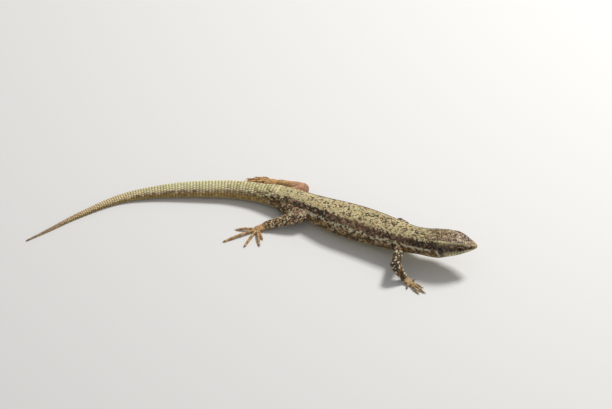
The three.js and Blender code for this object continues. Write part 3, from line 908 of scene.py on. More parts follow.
# painted shade: the hide in the ear's opening is painted near black
ear_far = r.math("POWER", r.math("DIVIDE", r.minus(behind, 10.6), 0.72), 2.0)
ear_high = r.math("POWER", r.math("DIVIDE", r.minus(side, 85.0), 14.0), 2.0)
ear_pit_shade = r.step(r.plus(ear_far, ear_high), 1.3, 0.8)
body = r.over(body, (26, 18, 15), ear_pit_shade, 0.95)
crescent = r.both(r.step(r.plus(ear_far, ear_high), 1.3, 1.6), r.step(r.plus(ear_far, ear_high), 4.2, 3.2),
                  r.step(behind, 10.6, 11.0), r.step(side, 80, 88))
crescent_line = r.both(r.near(r.plus(side, r.times(behind, 1.0)), 99, 3, 2.5),
                       r.near(behind, 15.8, 4.2, 1.5), r.step(middling, 0.1, 0.5))
body = r.over(body, (250, 244, 212), r.math("MAXIMUM", crescent, crescent_line))

# limbs: dark olive with cream and rusty spots on the forelegs, brown with dark-edged spots on the hind
# legs, the left one painted paler with fainter spots as painted light, and tan on the hands and feet with a
# darker bar at each joint
LIMB_END = 4.0  # what the way along a limb comes to at its claws
FORE_TONES = [(0, (118, 100, 68)), (1, (122, 104, 72)), (1.9, (146, 126, 86)), (2.3, (228, 202, 148)),
              (4, (232, 198, 140))]
# the darker first stop at the hip is painted shade, where the thigh goes under the flank
HIND_TONES = [(0, (136, 114, 76)), (0.5, (184, 152, 112)), (1.0, (232, 188, 150)), (1.3, (204, 168, 122)),
              (2.0, (206, 170, 118)), (2.3, (244, 204, 146)), (4, (236, 190, 132))]
fore = r.ramp(reach, LIMB_END, FORE_TONES)
rear = r.ramp(reach, LIMB_END, HIND_TONES)
legs = r.mix(hind, fore, rear)
# painted light: the left hind leg is painted paler and its spots fainter, as if more strongly lit than the
# right one
lit_left_leg = r.step(hind, 1.4, 1.6)
legs = r.mix(r.both(lit_left_leg, 0.85), legs,
             r.mix(r.near(reach, 1.0, 0.25, 0.3), paint(246, 194, 126), paint(238, 176, 134)))
near_body = r.step(reach, 2.4, 1.9)
bold = r.minus(0.85, r.times(lit_left_leg, 0.6))
net = r.step(r.plus(r.noise(root, 1.3), r.times(small, 0.6)), 0.6, 0.95)
legs = r.over(legs, (50, 36, 28), net, near_body, bold)
rusty = r.both(r.step(r.cells(root, 0.7), 0.3, 0.22), near_body, 0.6)
legs = r.mix(rusty, legs, r.mix(hind, paint(196, 122, 74), paint(216, 164, 98)))
eyed = r.cells(root, 1.0)
legs = r.over(legs, (58, 38, 32), r.near(eyed, 0.46, 0.05, 0.05), near_body, bold, 0.8)
legs = r.over(legs, (252, 238, 196), r.step(eyed, 0.4, 0.33), near_body,
              r.step(r.noise(root, 0.6), 0.1, 0.4), r.plus(bold, 0.1))
toes = r.both(r.step(r.noise(root, 1.4), 0.45, 0.7), r.step(reach, 1.9, 2.4), 0.55)
legs = r.over(legs, (188, 142, 96), toes)
knuckles = r.both(r.step(r.math("SINE", r.times(reach, 25.1)), 0.2, 0.7), r.step(reach, 3.0, 3.1), 0.45)
legs = r.over(legs, (116, 84, 54), knuckles)

colour = r.mix(on_limb, body, legs)
shaded = r.times(r.math("POWER", r.minus(1.0, grain), 2.0), 0.22)
colour = r.over(colour, (40, 30, 22), shaded)
r.link(colour, shown, "Color")
r.link(r.plus(r.times(middling, 0.14), 0.38), shown, "Roughness")


def new_material(name):
    """A material, the recipe that builds on its nodes, and its surface."""
    material = bpy.data.materials.new(name)
    material.use_nodes = True
    return material, Recipe(material.node_tree), material.node_tree.nodes["Principled BSDF"]


def horny(name, shade, bump, bump_scale):
    """A material with the markings, darker at the rims of scales and plates: painted shade in the gaps
    between them, and on the rear margins of scales partly the horn's own darker edge. shade darkens it by a
    fine grain, which also stands on it."""
    material, r, surface = new_material(name)
    marked = material.node_tree.nodes.new("ShaderNodeGroup")
    marked.node_tree = markings_and_painted_light
    for socket, attribute in (("Lie", "lie"), ("Limb", "limb"), ("Root", "root")):
        read = r.node("Attribute", {}, "Vector", attribute_name=attribute)
        r.link(read, marked, socket)
    apart = r.node("Attribute", {}, "Fac", attribute_name="side")
    r.link(apart, marked, "Side")
    own_place = r.node("TexCoord", {}, "Object")
    fine = r.node("TexNoise", {"Vector": own_place, "Scale": bump_scale, "Detail": 3.0})
    rim = r.node("Attribute", {}, "Fac", attribute_name="rim")
    # painted shade: the rims darken scales and plates where they meet the gaps between them; shade adds a
    # fine grain
    shadow = r.plus(r.times(fine, shade), r.times(rim, 0.45))
    colour = r.mix(shadow, marked.outputs["Color"], paint(34, 24, 18))
    r.link(colour, surface, "Base Color")
    r.link(marked.outputs["Roughness"], surface, "Roughness")
    surface.inputs["Specular IOR Level"].default_value = 0.3
    grains = r.node("Bump", {"Strength": bump, "Distance": 0.00003, "Height": fine})
    r.link(grains, surface, "Normal")
    return material


bare_hide = horny("bare_hide", 0.7, 0.5, 9000.0)  # the soft hide seen between the scales is painted darker, as painted shade in the gaps
horn_scale = horny("horn_scale", 0.12, 0.25, 14000.0)
hide.data.materials.clear()
hide.data.materials.append(bare_hide)
places = places_of(hide.data)
write_lie(hide.data, places, np.full(len(places), 0.5))
hide_normals = normals_of(hide.data)
hide_faces = [tuple(p.vertices) for p in hide.data.polygons]
hide_tree = BVHTree.FromPolygons([Vector(p) for p in places], hide_faces)


def facing_of(face):
    facing = hide_normals[list(hide_faces[face])].sum(0)
    return facing / np.linalg.norm(facing)


def onto_hide(start, towards, reach):
    """Where a straight line meets the skin from outside, and the way that faces there, or None."""
    hit, _, face, _ = hide_tree.ray_cast(Vector(start), Vector(towards), reach)
    if hit is None:
        return None
    facing = facing_of(face)
    return None if facing @ towards > -0.25 else (np.array(hit), facing)


# ---------------------------------------------------------------- eyes
# Two eyeballs set in the head under the lids: wet glossy balls with a dark round pupil in a red-brown iris.
# Each is one closed ball, a little flattened, and the lids of the hide close round it.
wet_eye, r, surface = new_material("wet_eye")
gaze = r.node("Attribute", {}, "Vector", attribute_name="gaze")
look = r.node("SeparateXYZ", {0: gaze}).node
from_middle = r.math("SQRT",
                     r.plus(r.math("POWER", look.outputs[0], 2.0), r.math("POWER", look.outputs[1], 2.0)))
turn = r.math("ARCTAN2", look.outputs[1], look.outputs[0])
threads = r.node("CombineXYZ", {0: r.times(turn, 4.0), 1: r.times(from_middle, 2.0), 2: 0.0})
iris = r.mix(r.noise(threads, 2.2, 3.0), paint(52, 30, 22), paint(98, 58, 40))
iris = r.over(iris, (30, 16, 12), r.step(from_middle, 0.82, 1.05))
iris = r.over(iris, (162, 112, 64), r.near(from_middle, 0.58, 0.02, 0.04), 0.55)
iris = r.over(iris, (4, 3, 3), r.step(from_middle, 0.57, 0.53))
r.link(iris, surface, "Base Color")
surface.inputs["Roughness"].default_value = 0.3
surface.inputs["Specular IOR Level"].default_value = 0.0
surface.inputs["Coat Weight"].default_value = 1.0
surface.inputs["Coat IOR"].default_value = 1.28
surface.inputs["Coat Roughness"].default_value = 0.03
BALL_SHARE = 0.985  # the ball is this much of what the lids are drawn over


def smooth_mesh(form, name):
    """A smooth mesh of a bmesh, which is used up."""
    bmesh.ops.recalc_face_normals(form, faces=form.faces)
    mesh = bpy.data.meshes.new(name)
    form.to_mesh(mesh)
    form.free()
    mesh.shade_smooth()
    return mesh


for name, side in SIDES.items():
    middle, ahead, out, up = eye_axes(side)
    ball = bmesh.new()
    bmesh.ops.create_uvsphere(ball, u_segments=64, v_segments=40, radius=1)
    spots = np.array([v.co for v in ball.verts])  # the pole of the ball is the middle of the pupil
    half = EYEBALL * BALL_SHARE
    for vert, (x, y, z) in zip(ball.verts, spots):
        vert.co = (middle + ahead * x * half[0] + up * y * half[2] + out * z * half[1]) * MM
    mesh = smooth_mesh(ball, f"eyeball_{name}")
    keep(mesh, "gaze", spots * half[[0, 2, 1]])
    eyeball = add_piece(f"eyeball_{name}", mesh, "eye", wet_eye)
    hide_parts(f"eye_{name}")

# ---------------------------------------------------------------- eardrums
# A thin oval skin stretched across the foot of each ear opening, a little hollow. Each is one closed shell
# that lies on the floor of the pit in the hide.
thin_skin, r, surface = new_material("thin_skin")
clouds = r.noise(r.node("TexCoord", {}, "Object"), 1800.0, 3.0)
veined = r.mix(clouds, paint(34, 24, 20), paint(70, 52, 42))
r.link(veined, surface, "Base Color")
surface.inputs["Roughness"].default_value = 0.34
for name, side in SIDES.items():
    middle = middle_of(f"ear_{name}")
    forward, right, up = axes_at(middle)
    floor_of_ear, _ = onto_hide(middle + right * side * 3, -right * side, 6)
    drum = bmesh.new()
    bmesh.ops.create_uvsphere(drum, u_segments=40, v_segments=20, radius=1)
    for vert in drum.verts:
        x, y, z = vert.co
        hollow = 0.1 * (1 - x * x - y * y) if z > 0 else 0
        high = 0.16 + z * 0.12 - hollow
        co = floor_of_ear + forward * (x * 0.5 - 0.1 * y) + up * y * 0.98 + right * side * high
        vert.co = co * MM
    eardrum = add_piece(f"eardrum_{name}", smooth_mesh(drum, f"eardrum_{name}"), "eardrum", thin_skin)
    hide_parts(f"ear_{name}")

# ---------------------------------------------------------------- claws
# Twenty hooked claws of dark horn, one from the end of each digit, with the point down on the floor. Each
# is a bent bar that thins to its point, its root sunk in the digit.
horn_claw, r, surface = new_material("horn_claw")
streaks = r.noise(r.node("TexCoord", {}, "Object"), 2600.0, 4.0)
r.link(r.mix(streaks, paint(44, 32, 26), paint(104, 78, 54)), surface, "Base Color")
r.link(r.plus(r.times(streaks, 0.15), 0.25), surface, "Roughness")
CLAW_BEND = [(-0.4, 0.02), (0.1, 0.12), (0.62, 0.1), (1.02, -0.12)]  # ahead of the digit's end, and up


def horn(t):
    """The radius of a claw, which thins to its point."""
    return CLAW["radius"] * (1 - 0.9 * np.clip(t, 0, 1) ** 1.2) * 0.78


for limb in LIMBS:
    tubes = []
    for digit in limb_lines(limb)[3]:
        end, forward = digit.points[-1], digit.points[-1] - digit.points[-6]
        forward = np.array([forward[0], forward[1], 0]) / np.hypot(forward[0], forward[1])
        hook = Line([end + forward * ahead + (0, 0, high) for ahead, high in CLAW_BEND])
        tubes.append(bar(hook, horn, sides=14, rings=18))
    mesh = joined(tubes)
    flat = places_of(mesh)
    flat[:, 2] = np.maximum(flat[:, 2], 0.01)
    move_corners(mesh, flat)
    mesh.shade_smooth()
    add_piece(f"claws_{limb}", mesh, "skin_limb", horn_claw)

# ---------------------------------------------------------------- the shields of the head
# Plates of horn that fit together like paving over the skull, the lips and the chin. Each is one plate
# grown from the hide, with a rounded edge and a fine seam between it and its neighbours.
draw = np.random.default_rng(7)


class Ground:
    """Remembers where scales stand, so that no two grow in one place."""

    CELL = 0.55

    def __init__(self):
        self.cells = {}

    def key(self, place):
        return tuple(int(math.floor(c / self.CELL)) for c in place)

    def is_free(self, place, size, share):
        x, y, z = self.key(place)
        for i in (x - 1, x, x + 1):
            for j in (y - 1, y, y + 1):
                for k in (z - 1, z, z + 1):
                    for other, other_size in self.cells.get((i, j, k), ()):
                        if math.dist(place, other) < share * (size + other_size) / 2:
                            return False
        return True

    def take(self, place, size):
        self.cells.setdefault(self.key(place), []).append((tuple(place), size))

    def uncovered(self, places, size):
        """Which of many places aren't taken already, for a scale of this size."""
        taken = [scale for cell in self.cells.values() for scale in cell]
        tree = KDTree(len(taken))
        for number, (place, _) in enumerate(taken):
            tree.insert(place, number)
        tree.balance()
        found = [tree.find(place)[1:] for place in places]
        return np.array([gap > 0.4 * (size + taken[number][1]) for number, gap in found])


ground = Ground()
SNOUT_BALL = 1.5  # ahead of this the snout is read like a ball, from its tip
BALL_TURN = 60  # degrees that each millimetre turns it


def skin_spot(behind, degrees):
    """A place of head, trunk or tail: on the skin, the way it faces, and forwards. None where none is."""
    at, angle = np.array([max(behind, SNOUT_BALL)]), np.radians(degrees)
    middle, forward, right, up = (v[0] for v in backbone.frame(at))
    out = math.cos(angle) * up + math.sin(angle) * right
    if behind < SNOUT_BALL:
        turn = math.radians(BALL_TURN * behind)
        out = forward * math.cos(turn) + out * math.sin(turn)
        found = onto_hide(middle + out * 3.2, -out, 3.2)
    else:
        radius = outline(at, np.array([angle]), HIDE_DEPTH)[0]
        found = onto_hide(middle + out * (radius + 0.5), -out, 1.0)
    return found and (*found, forward)


PLATE_RING = 0.2  # width of each of a plate's rings, as a share of its radius


def corners_and_faces(form):
    """The corners and the faces of a bmesh, which is used up, with the lowest faces first."""
    form.faces.sort(key=lambda f: f.calc_center_median().z)
    form.verts.index_update()
    corners = np.array([v.co for v in form.verts])
    faces = [[v.index for v in f.verts] for f in form.faces]
    form.free()
    return corners, faces


def plate_form(sides):
    """A closed round plate of radius 1, in rings. Plates moves its corners into place."""
    form = bmesh.new()
    bmesh.ops.create_circle(form, cap_ends=True, segments=sides, radius=1)
    top = form.faces[:][0]
    for _ in range(4):
        bmesh.ops.inset_individual(form, faces=[top], thickness=PLATE_RING)
    bmesh.ops.poke(form, faces=[top])
    rim = [e for e in form.edges if e.is_boundary]
    skirt = bmesh.ops.extrude_edge_only(form, edges=rim)["geom"]
    bmesh.ops.translate(form, verts=[g for g in skirt if isinstance(g, bmesh.types.BMVert)], vec=(0, 0, -1))
    bmesh.ops.contextual_create(form, geom=[e for e in form.edges if e.is_boundary])
    bmesh.ops.recalc_face_normals(form, faces=form.faces)
    return corners_and_faces(form)


PLATE_SIDES = 28
PLATE_FORM = plate_form(PLATE_SIDES)
PLATE_RIM = np.clip(np.hypot(*PLATE_FORM[0][:, :2].T) * 5 - 4, 0, 1)  # 1 at the edge, 0 one ring in
PLATE_RISE = np.array([0.45, 0.86, 1.0, 1.03, 1.05, 1.05])  # share of its height at each ring, edge first
PLATE_FOOT = -0.06  # how high its foot is on the skin
PLATE_CLAIM = 0.26  # width of the ground that each of its corners takes


class Plates:
    """Plates of one piece, each given by its corners on the skin."""

    def __init__(self, name, slot, height, seam=0.035, tilt=0.0):
        self.name, self.slot, self.height, self.seam, self.tilt = name, slot, height, seam, tilt
        self.made = []

    def add(self, spots, heart=None):
        """spots are the plate's corners, as (distance behind the snout, degrees from the top). heart is its
        middle, where that isn't the mean of the corners."""
        found = [skin_spot(*spot) for spot in spots]
        if any(f is None for f in found):
            return
        ends = np.array([f[0] for f in found])
        chart = np.array(spots, float)
        loop, chart = np.vstack([ends, ends[:1]]), np.vstack([chart, chart[:1]])
        along = np.concatenate([[0], np.cumsum(np.linalg.norm(np.diff(loop, axis=0), axis=1))])
        at = np.arange(PLATE_SIDES) / PLATE_SIDES * along[-1]
        edge = np.stack([np.interp(at, along, loop[:, i]) for i in range(3)], 1)
        chart = np.stack([np.interp(at, along, chart[:, i]) for i in range(2)], 1)
        edge = (np.roll(edge, 1, 0) + 3 * edge + np.roll(edge, -1, 0)) / 5
        middle = skin_spot(*heart)[0] if heart else edge.mean(0)
        reach = np.linalg.norm(edge - middle, axis=1)[:, None]
        middle_chart = chart.mean(0)
        corners, _ = PLATE_FORM
        share = np.hypot(corners[:, 0], corners[:, 1])
        turn = np.degrees(np.arctan2(corners[:, 1], corners[:, 0])) / 360 * PLATE_SIDES
        sector = np.round(turn).astype(int) % PLATE_SIDES
        foot = corners[:, 2] < -0.5
        ring = np.round((1 - share) / PLATE_RING).astype(int)  # 0 at the edge, 5 in the middle
        inset = np.array([self.seam, self.seam + 0.05, self.seam + 0.13, 0, 0, 0])[np.minimum(ring, 5)]
        kept = 1 - np.minimum(inset / reach[sector, 0], 0.5)
        kept = np.where(ring >= 3, share * 0.95, kept)
        kept = np.where(ring >= 5, 0, kept)
        high = np.where(foot, PLATE_FOOT, PLATE_RISE[np.minimum(ring, 5)] * self.height)
        base = middle + (edge[sector] - middle) * kept[:, None]
        spread = chart[:, 0].max() - chart[:, 0].min()
        back = (chart[sector, 0] - middle_chart[0]) / max(spread, 1e-6) * 2 * kept
        high = np.where(foot, high, high + self.tilt * back)
        solid = np.empty_like(base)
        for i, spot in enumerate(base):
            on, _, face, _ = hide_tree.find_nearest(Vector(spot))
            solid[i] = np.array(on) + facing_of(face) * high[i]
            if not foot[i]:
                ground.take(tuple(on), PLATE_CLAIM)
        solid[:, 2] = np.maximum(solid[:, 2], np.where(foot, 0.03, 0))
        laid = np.where(foot, 0.97, np.where(ring == 0, 0.93, kept * 0.93))
        flat = middle_chart + (chart[sector] - middle_chart) * laid[:, None]
        self.made.append((solid, base, flat))

    def finish(self):
        _, faces = PLATE_FORM
        solid = np.vstack([m[0] for m in self.made])
        base = np.vstack([m[1] for m in self.made])
        flat = np.vstack([m[2] for m in self.made])
        per = len(PLATE_FORM[0])
        mesh = copies_mesh(self.name, solid, faces, len(self.made), per)
        each = np.repeat(np.arange(len(self.made)), per)
        write_lie(mesh, base, draw.random(len(self.made))[each])
        # the rim darkens each plate's edge, painted shade in the seam between plates
        keep(mesh, "rim", np.tile(PLATE_RIM, len(self.made)))
        write_map(mesh, across_map(flat))
        add_piece(self.name, mesh, self.slot, horn_scale)


MAP_MARGIN = 0.01
SCALE_PATCH = 0.003


def across_map(spots):
    """Spreads places over the map, as far as its margin."""
    low, high = spots.min(0), spots.max(0)
    return MAP_MARGIN + (1 - 2 * MAP_MARGIN) * (spots - low) / np.maximum(high - low, 1e-6)


def write_map(mesh, flat):
    """Writes the map that markings are baked on, from each corner's place on it."""
    layer = mesh.uv_layers.new(name="OFBake")
    loops = np.empty(len(mesh.loops), np.int32)
    mesh.loops.foreach_get("vertex_index", loops)
    layer.uv.foreach_set("vector", flat[loops].astype(np.float32).ravel())


def copies_mesh(name, spots, faces, count, per):
    """A mesh of many copies of one form, whose corners are already in place."""
    mesh = bpy.data.meshes.new(name)
    mesh.vertices.add(count * per)
    move_corners(mesh, spots)
    lengths = np.array([len(f) for f in faces])
    loops = (np.concatenate([np.array(f) for f in faces])[None] + np.arange(count)[:, None] * per).ravel()
    mesh.loops.add(len(loops))
    mesh.loops.foreach_set("vertex_index", loops.astype(np.int32))
    starts = np.concatenate([[0], np.cumsum(np.tile(lengths, count))[:-1]])
    mesh.polygons.add(len(starts))
    mesh.polygons.foreach_set("loop_start", starts.astype(np.int32))
    mesh.update(calc_edges=True)
    mesh.shade_smooth()
    return mesh


SNOUT_LIPS = [(0.36, 180), (0.5, 142), (0.7, 133), (0.95, 127.5), (1.25, 125)]  # the mouth line on the ball


def lip(behind, drop=0.0):
    """The angle of the mouth line on the right, or of a place drop millimetres below it."""
    spots = np.array(SNOUT_LIPS + MOUTH_LINE[2:])
    turn = math.radians(min(BALL_TURN * behind, 90))
    reach = 1.45 * math.sin(turn) + 0.45 * max(behind - SNOUT_BALL, 0)
    return float(np.interp(behind, spots[:, 0], spots[:, 1])) + math.degrees(drop / reach)


# Shields on the middle line, given by their right half from front to back, and shields of the right side.
UPPER, LOWER = -0.11, 0.11  # how far the lips' shields end from the mouth line
MIDDLE_SHIELDS = [
    [(0.88, 0), (0.83, 45), (0.8, 74), (0.95, lip(0.95, UPPER)), (0.55, lip(0.55, UPPER)),
     (0.25, 135)],  # rostral
    [(1.75, 0), (1.9, 38), (2.35, 36), (2.95, 0)],  # frontonasal
    [(3.55, 0), (3.9, 24), (5.2, 13), (6.75, 11), (7.25, 0)],  # frontal
    [(8.1, 0), (8.7, 8.5), (9.75, 6.5), (9.9, 0)],  # interparietal
    [(9.9, 0), (9.75, 6.5), (10.9, 9), (11.6, 7), (11.75, 0)],  # occipital
    [(0.6, 180), (0.72, lip(0.72, 1.3 * LOWER)), (1.0, lip(1.0, LOWER)), (1.25, 152),
     (1.35, 180)],  # mental
]
SIDE_SHIELDS = [
    [(0.88, 0), (1.75, 0), (1.9, 38), (1.75, 52), (1.1, 57), (0.83, 45)],  # above the nostril
    [(1.75, 52), (1.9, 38), (2.35, 36), (2.45, 46), (2.5, 60), (2.45, 80), (1.95, 79),
     (1.65, 77)],  # behind it
    [(2.45, 46), (3.4, 45), (3.35, 54), (3.1, 64), (3.0, 82), (2.75, 82), (2.45, 80), (2.5, 60)],  # loreal
    [(2.95, 0), (2.35, 36), (2.45, 46), (3.45, 45), (3.9, 24), (3.55, 0)],  # prefrontal
    [(3.9, 24), (3.5, 40), (4.15, 37), (4.35, 20)],  # the four above the eye
    [(4.35, 20), (4.15, 37), (5.6, 35), (5.6, 12.4)],
    [(5.6, 12.4), (5.6, 35), (6.9, 33.5), (6.75, 11)],
    [(6.75, 11), (6.9, 33.5), (7.6, 32), (8.3, 21), (7.45, 20)],
    [(7.25, 0), (6.75, 11), (7.45, 20), (8.3, 21), (8.7, 8.5), (8.1, 0)],  # behind the frontal
    [(8.3, 21), (7.6, 32), (7.8, 41), (9.6, 42), (11.5, 42.5), (12.2, 32), (12.0, 12), (11.6, 7), (10.9, 9),
     (9.75, 6.5), (8.7, 8.5)],  # parietal
    [(7.8, 41), (9.6, 42), (9.55, 53), (7.95, 50)],  # edge of the skull
    [(9.6, 42), (11.5, 42.5), (11.25, 52), (9.55, 53)],
    [(9.45, 69), (9.7, 66.5), (10.3, 67.5), (10.45, 71), (10.2, 73.5), (9.6, 73)],  # above the ear
    [(8.0, 86), (8.25, 81), (8.65, 79.5), (9.0, 83), (9.05, 89), (8.75, 93), (8.3, 92)],  # on the cheek
]
BROW_ENDS = [(3.5, 40.5), (4.15, 38), (4.9, 37), (5.6, 36.3), (6.3, 35.5), (6.95, 34.8), (7.65, 34)]
BROW_FOOT = 47.5
for (front, inner), (rear, inner_rear) in zip(BROW_ENDS, BROW_ENDS[1:]):
    SIDE_SHIELDS.append([(front, inner + 1), (rear, inner_rear + 1), (rear + 0.12, BROW_FOOT),
                         (front + 0.12, BROW_FOOT)])
LIP_TOPS = [(0.8, 74), (1.95, 80), (2.75, 84), (3.5, 93), (4.5, 100.5), (6.1, 101.5), (7.5, 101),
            (8.6, 102)]
LIP_ENDS = [0.95, 1.9, 2.8, 3.7, 4.7, 6.0, 7.4, 8.6]
for (front, top), (rear, top_rear), low, low_rear in zip(LIP_TOPS, LIP_TOPS[1:], LIP_ENDS, LIP_ENDS[1:]):
    SIDE_SHIELDS.append([(front, top), (rear, top_rear), (low_rear, lip(low_rear, UPPER)),
                         (low, lip(low, UPPER))])
JAW_ENDS = [1.0, 2.1, 3.1, 4.2, 5.4, 6.7, 8.1]
JAW_FOOT = 17  # degrees from the mouth line to the foot of the lower lip's shields
for front, rear in zip(JAW_ENDS, JAW_ENDS[1:]):
    SIDE_SHIELDS.append([(front, lip(front, LOWER)), (rear, lip(rear, LOWER)),
                         (rear + 0.1, lip(rear) + JAW_FOOT),
                         (front + 0.15, lip(front) + JAW_FOOT)])
CHIN_ENDS = [1.35, 2.5, 3.9, 5.6, 7.2]
CHIN_INNER = [180, 180, 180, 180, 163]
for number, (front, rear) in enumerate(zip(CHIN_ENDS, CHIN_ENDS[1:])):
    SIDE_SHIELDS.append([(front, CHIN_INNER[number]), (rear, CHIN_INNER[number + 1]),
                         (rear, lip(rear) + JAW_FOOT + 1), (front + 0.1, lip(front) + JAW_FOOT + 1)])

shields = Plates("head_shields", "skin_head", 0.11)
for number, half in enumerate(MIDDLE_SHIELDS):
    turned = 360 if half[0][1] == 180 else 0
    whole = half + [(behind, turned - degrees) for behind, degrees in reversed(half) if 0 < degrees < 180]
    shields.add(whole, heart=(0.12, 0) if number == 0 else None)
for spots in SIDE_SHIELDS:
    shields.add(spots)
    shields.add([(behind, -degrees) for behind, degrees in spots])
shields.finish()

# ---------------------------------------------------------------- the plates of the belly
# Six long rows of broad smooth plates from the collar to the vent, each lying over the one behind it. They
# are horn like the shields of the head, and grow from the hide in the same way.
BELLY_EDGE = 124  # degrees from the top, where the grain of the flank meets the plates of the belly
BELLY_START, BELLY_END, BELLY_ROWS = 20.8, 69.0, 27
pitch = (BELLY_END - BELLY_START) / BELLY_ROWS
columns = np.linspace(BELLY_EDGE, 360 - BELLY_EDGE, 7)
for part, rows in (("front", range(0, 14)), ("rear", range(14, BELLY_ROWS))):
    belly = Plates(f"belly_plates_{part}", "skin_back", 0.08, seam=0.03, tilt=0.035)
    for row in rows:
        front = BELLY_START + row * pitch
        rear = front + pitch * 1.04
        for left, right in zip(columns, columns[1:]):
            shown = draw.normal(0, 0.02, 2)
            belly.add([(front, left), (front, right), (rear + shown[0], right), (rear + shown[1], left)])
    if part == "rear":
        belly.add([(69.3, 152), (69.3, 208), (70.6, 200), (70.6, 160)])  # in front of the vent
    belly.finish()

# The collar: nine broad scales that end the throat in a toothed edge.
collar = Plates("collar", "skin_back", 0.1, seam=0.03, tilt=0.06)
edges = np.linspace(126, 234, 10)
for left, right in zip(edges, edges[1:]):
    bend = 0.35 * math.cos(math.radians((left + right) / 2 - 180))
    collar.add([(19.5 + bend, left), (19.5 + bend, right), (20.5 + bend, right - 1.5),
                (20.75 + bend, (left + right) / 2), (20.5 + bend, left + 1.5)])
collar.finish()


# ---------------------------------------------------------------- the whorls of the tail
# Rings of long keeled scales, each ring lying over the one behind, from the vent to the tip of the tail.
# Each scale is a closed leaf of horn with a ridge along it, its foot sunk in the hide.
def scale_form(sides=8, keel=0.0, rise=0.0, point=0.0, square=2.0):
    """One closed scale, 1 long (x, forwards), 1 wide (y) and 1 high (z), with its foot sunk in the hide."""
    form = bmesh.new()
    bmesh.ops.create_cone(form, cap_ends=True, segments=sides, radius1=0.44, radius2=0.33, depth=2)
    half_step = Matrix.Rotation(math.pi / sides, 3, "Z")
    bmesh.ops.rotate(form, verts=form.verts, cent=(0, 0, 0), matrix=half_step)
    walls = [e for e in form.edges if abs(e.verts[0].co.z - e.verts[1].co.z) > 1]
    bmesh.ops.subdivide_edges(form, edges=walls, cuts=1)
    top = max(form.faces, key=lambda f: f.calc_center_median().z)
    bmesh.ops.poke(form, faces=[top])
    for vert in form.verts:
        level, radius = vert.co.z, math.hypot(vert.co.x, vert.co.y)
        if radius > 0.1:
            full = 0.5 if abs(level) < 0.5 else radius
            c, s = abs(vert.co.x) / radius, abs(vert.co.y) / radius
            full *= (c**square + s**square) ** (-1 / square)
            bmesh.ops.scale(form, vec=(full / radius, full / radius, 1), verts=[vert])
        crown = 1 if radius < 0.1 else 0.86
        height = -0.45 if level < -0.5 else (0.35 if level < 0.5 else crown)
        back = -vert.co.x * 2
        if height > 0:
            height += keel * math.exp(-((vert.co.y / 0.13) ** 2)) * (height > 0.5) + rise * back
        vert.co.z = height
        vert.co.y *= 1 - point * max(back, 0) ** 1.5
    return corners_and_faces(form)


class Coat:
    """Scales of one form, gathered for one piece. Each keeps its root's place on the unwrapped skin."""

    def __init__(self, name, slot, form):
        self.name, self.slot, self.form = name, slot, form
        self.scales = []

    def add(self, place, facing, forwards, size, root, share=0.72):
        """size is (length, width, height). root is the place on the unwrapped skin."""
        reach = (size[0] + size[1]) / 2
        if not ground.is_free(place, reach, share):
            return
        ground.take(place, reach)
        x = forwards - facing * (forwards @ facing)
        x /= np.linalg.norm(x)
        self.scales.append((place, x, np.cross(facing, x), facing, size, root))

    def finish(self):
        corners, faces = self.form
        count, per = len(self.scales), len(corners)
        place, x, y, z, size, root = (np.array(c, float) for c in zip(*self.scales))
        shape = corners[None] * size[:, None]
        spots = place[:, None] + sum(
            shape[:, :, i:i + 1] * axis[:, None] for i, axis in enumerate((x, y, z)))
        spots = spots.reshape(-1, 3)
        spots[:, 2] = np.maximum(spots[:, 2], 0)
        mesh = copies_mesh(self.name, spots, faces, count, per)
        write_lie(mesh, place, draw.random(count), np.repeat(np.arange(count), per))
        # the rim is 1 on a scale's walls and foot, painted shade in the gaps between scales, and on its top
        # rises from 0.1 to 0.6 towards its rear margin, partly painted shade where it lies over the next
        # and partly the horn's own darker edge
        back = np.clip(-2.5 * corners[:, 0], 0, 1)
        keep(mesh, "rim", np.tile(np.where(corners[:, 2] < 0.5, 1.0, 0.1 + 0.5 * back), count))
        # each scale is laid flat, as a small patch at its root's place on the skin
        flat = across_map(root)[:, None] + corners[None, :, :2] * SCALE_PATCH
        write_map(mesh, flat.reshape(-1, 2))
        add_piece(self.name, mesh, self.slot, horn_scale)


TAIL_FORM = scale_form(sides=10, keel=0.45, rise=0.3, point=0.12, square=3.4)
WHORLS = {"root": 92, "middle": 120, "tip": 156.4}  # where each part of the whorls ends behind the snout
behind, ring_number = 70.4, 0
for part, end in WHORLS.items():
    coat = Coat(f"tail_whorls_{part}", "skin_tail", TAIL_FORM)
    while behind < end:
        pitch = 1.02 - 0.34 * float(soft_step(behind, 85, 150))
        radius = float(girth(behind, WIDE)) - HIDE_DEPTH
        count = max(8, round(2 * math.pi * radius / 0.6))
        width = 2 * math.pi * radius / count
        ring_number += 1
        for number in range(count):
            degrees = (number + 0.5 * (ring_number % 2)) * 360 / count - 180
            found = skin_spot(behind, degrees)
            if found:
                size = (pitch * 1.08, width * 1.04, min(0.15, radius * 0.3))
                coat.add(*found, size, (behind, degrees), share=0.3)
        behind += pitch
    coat.finish()

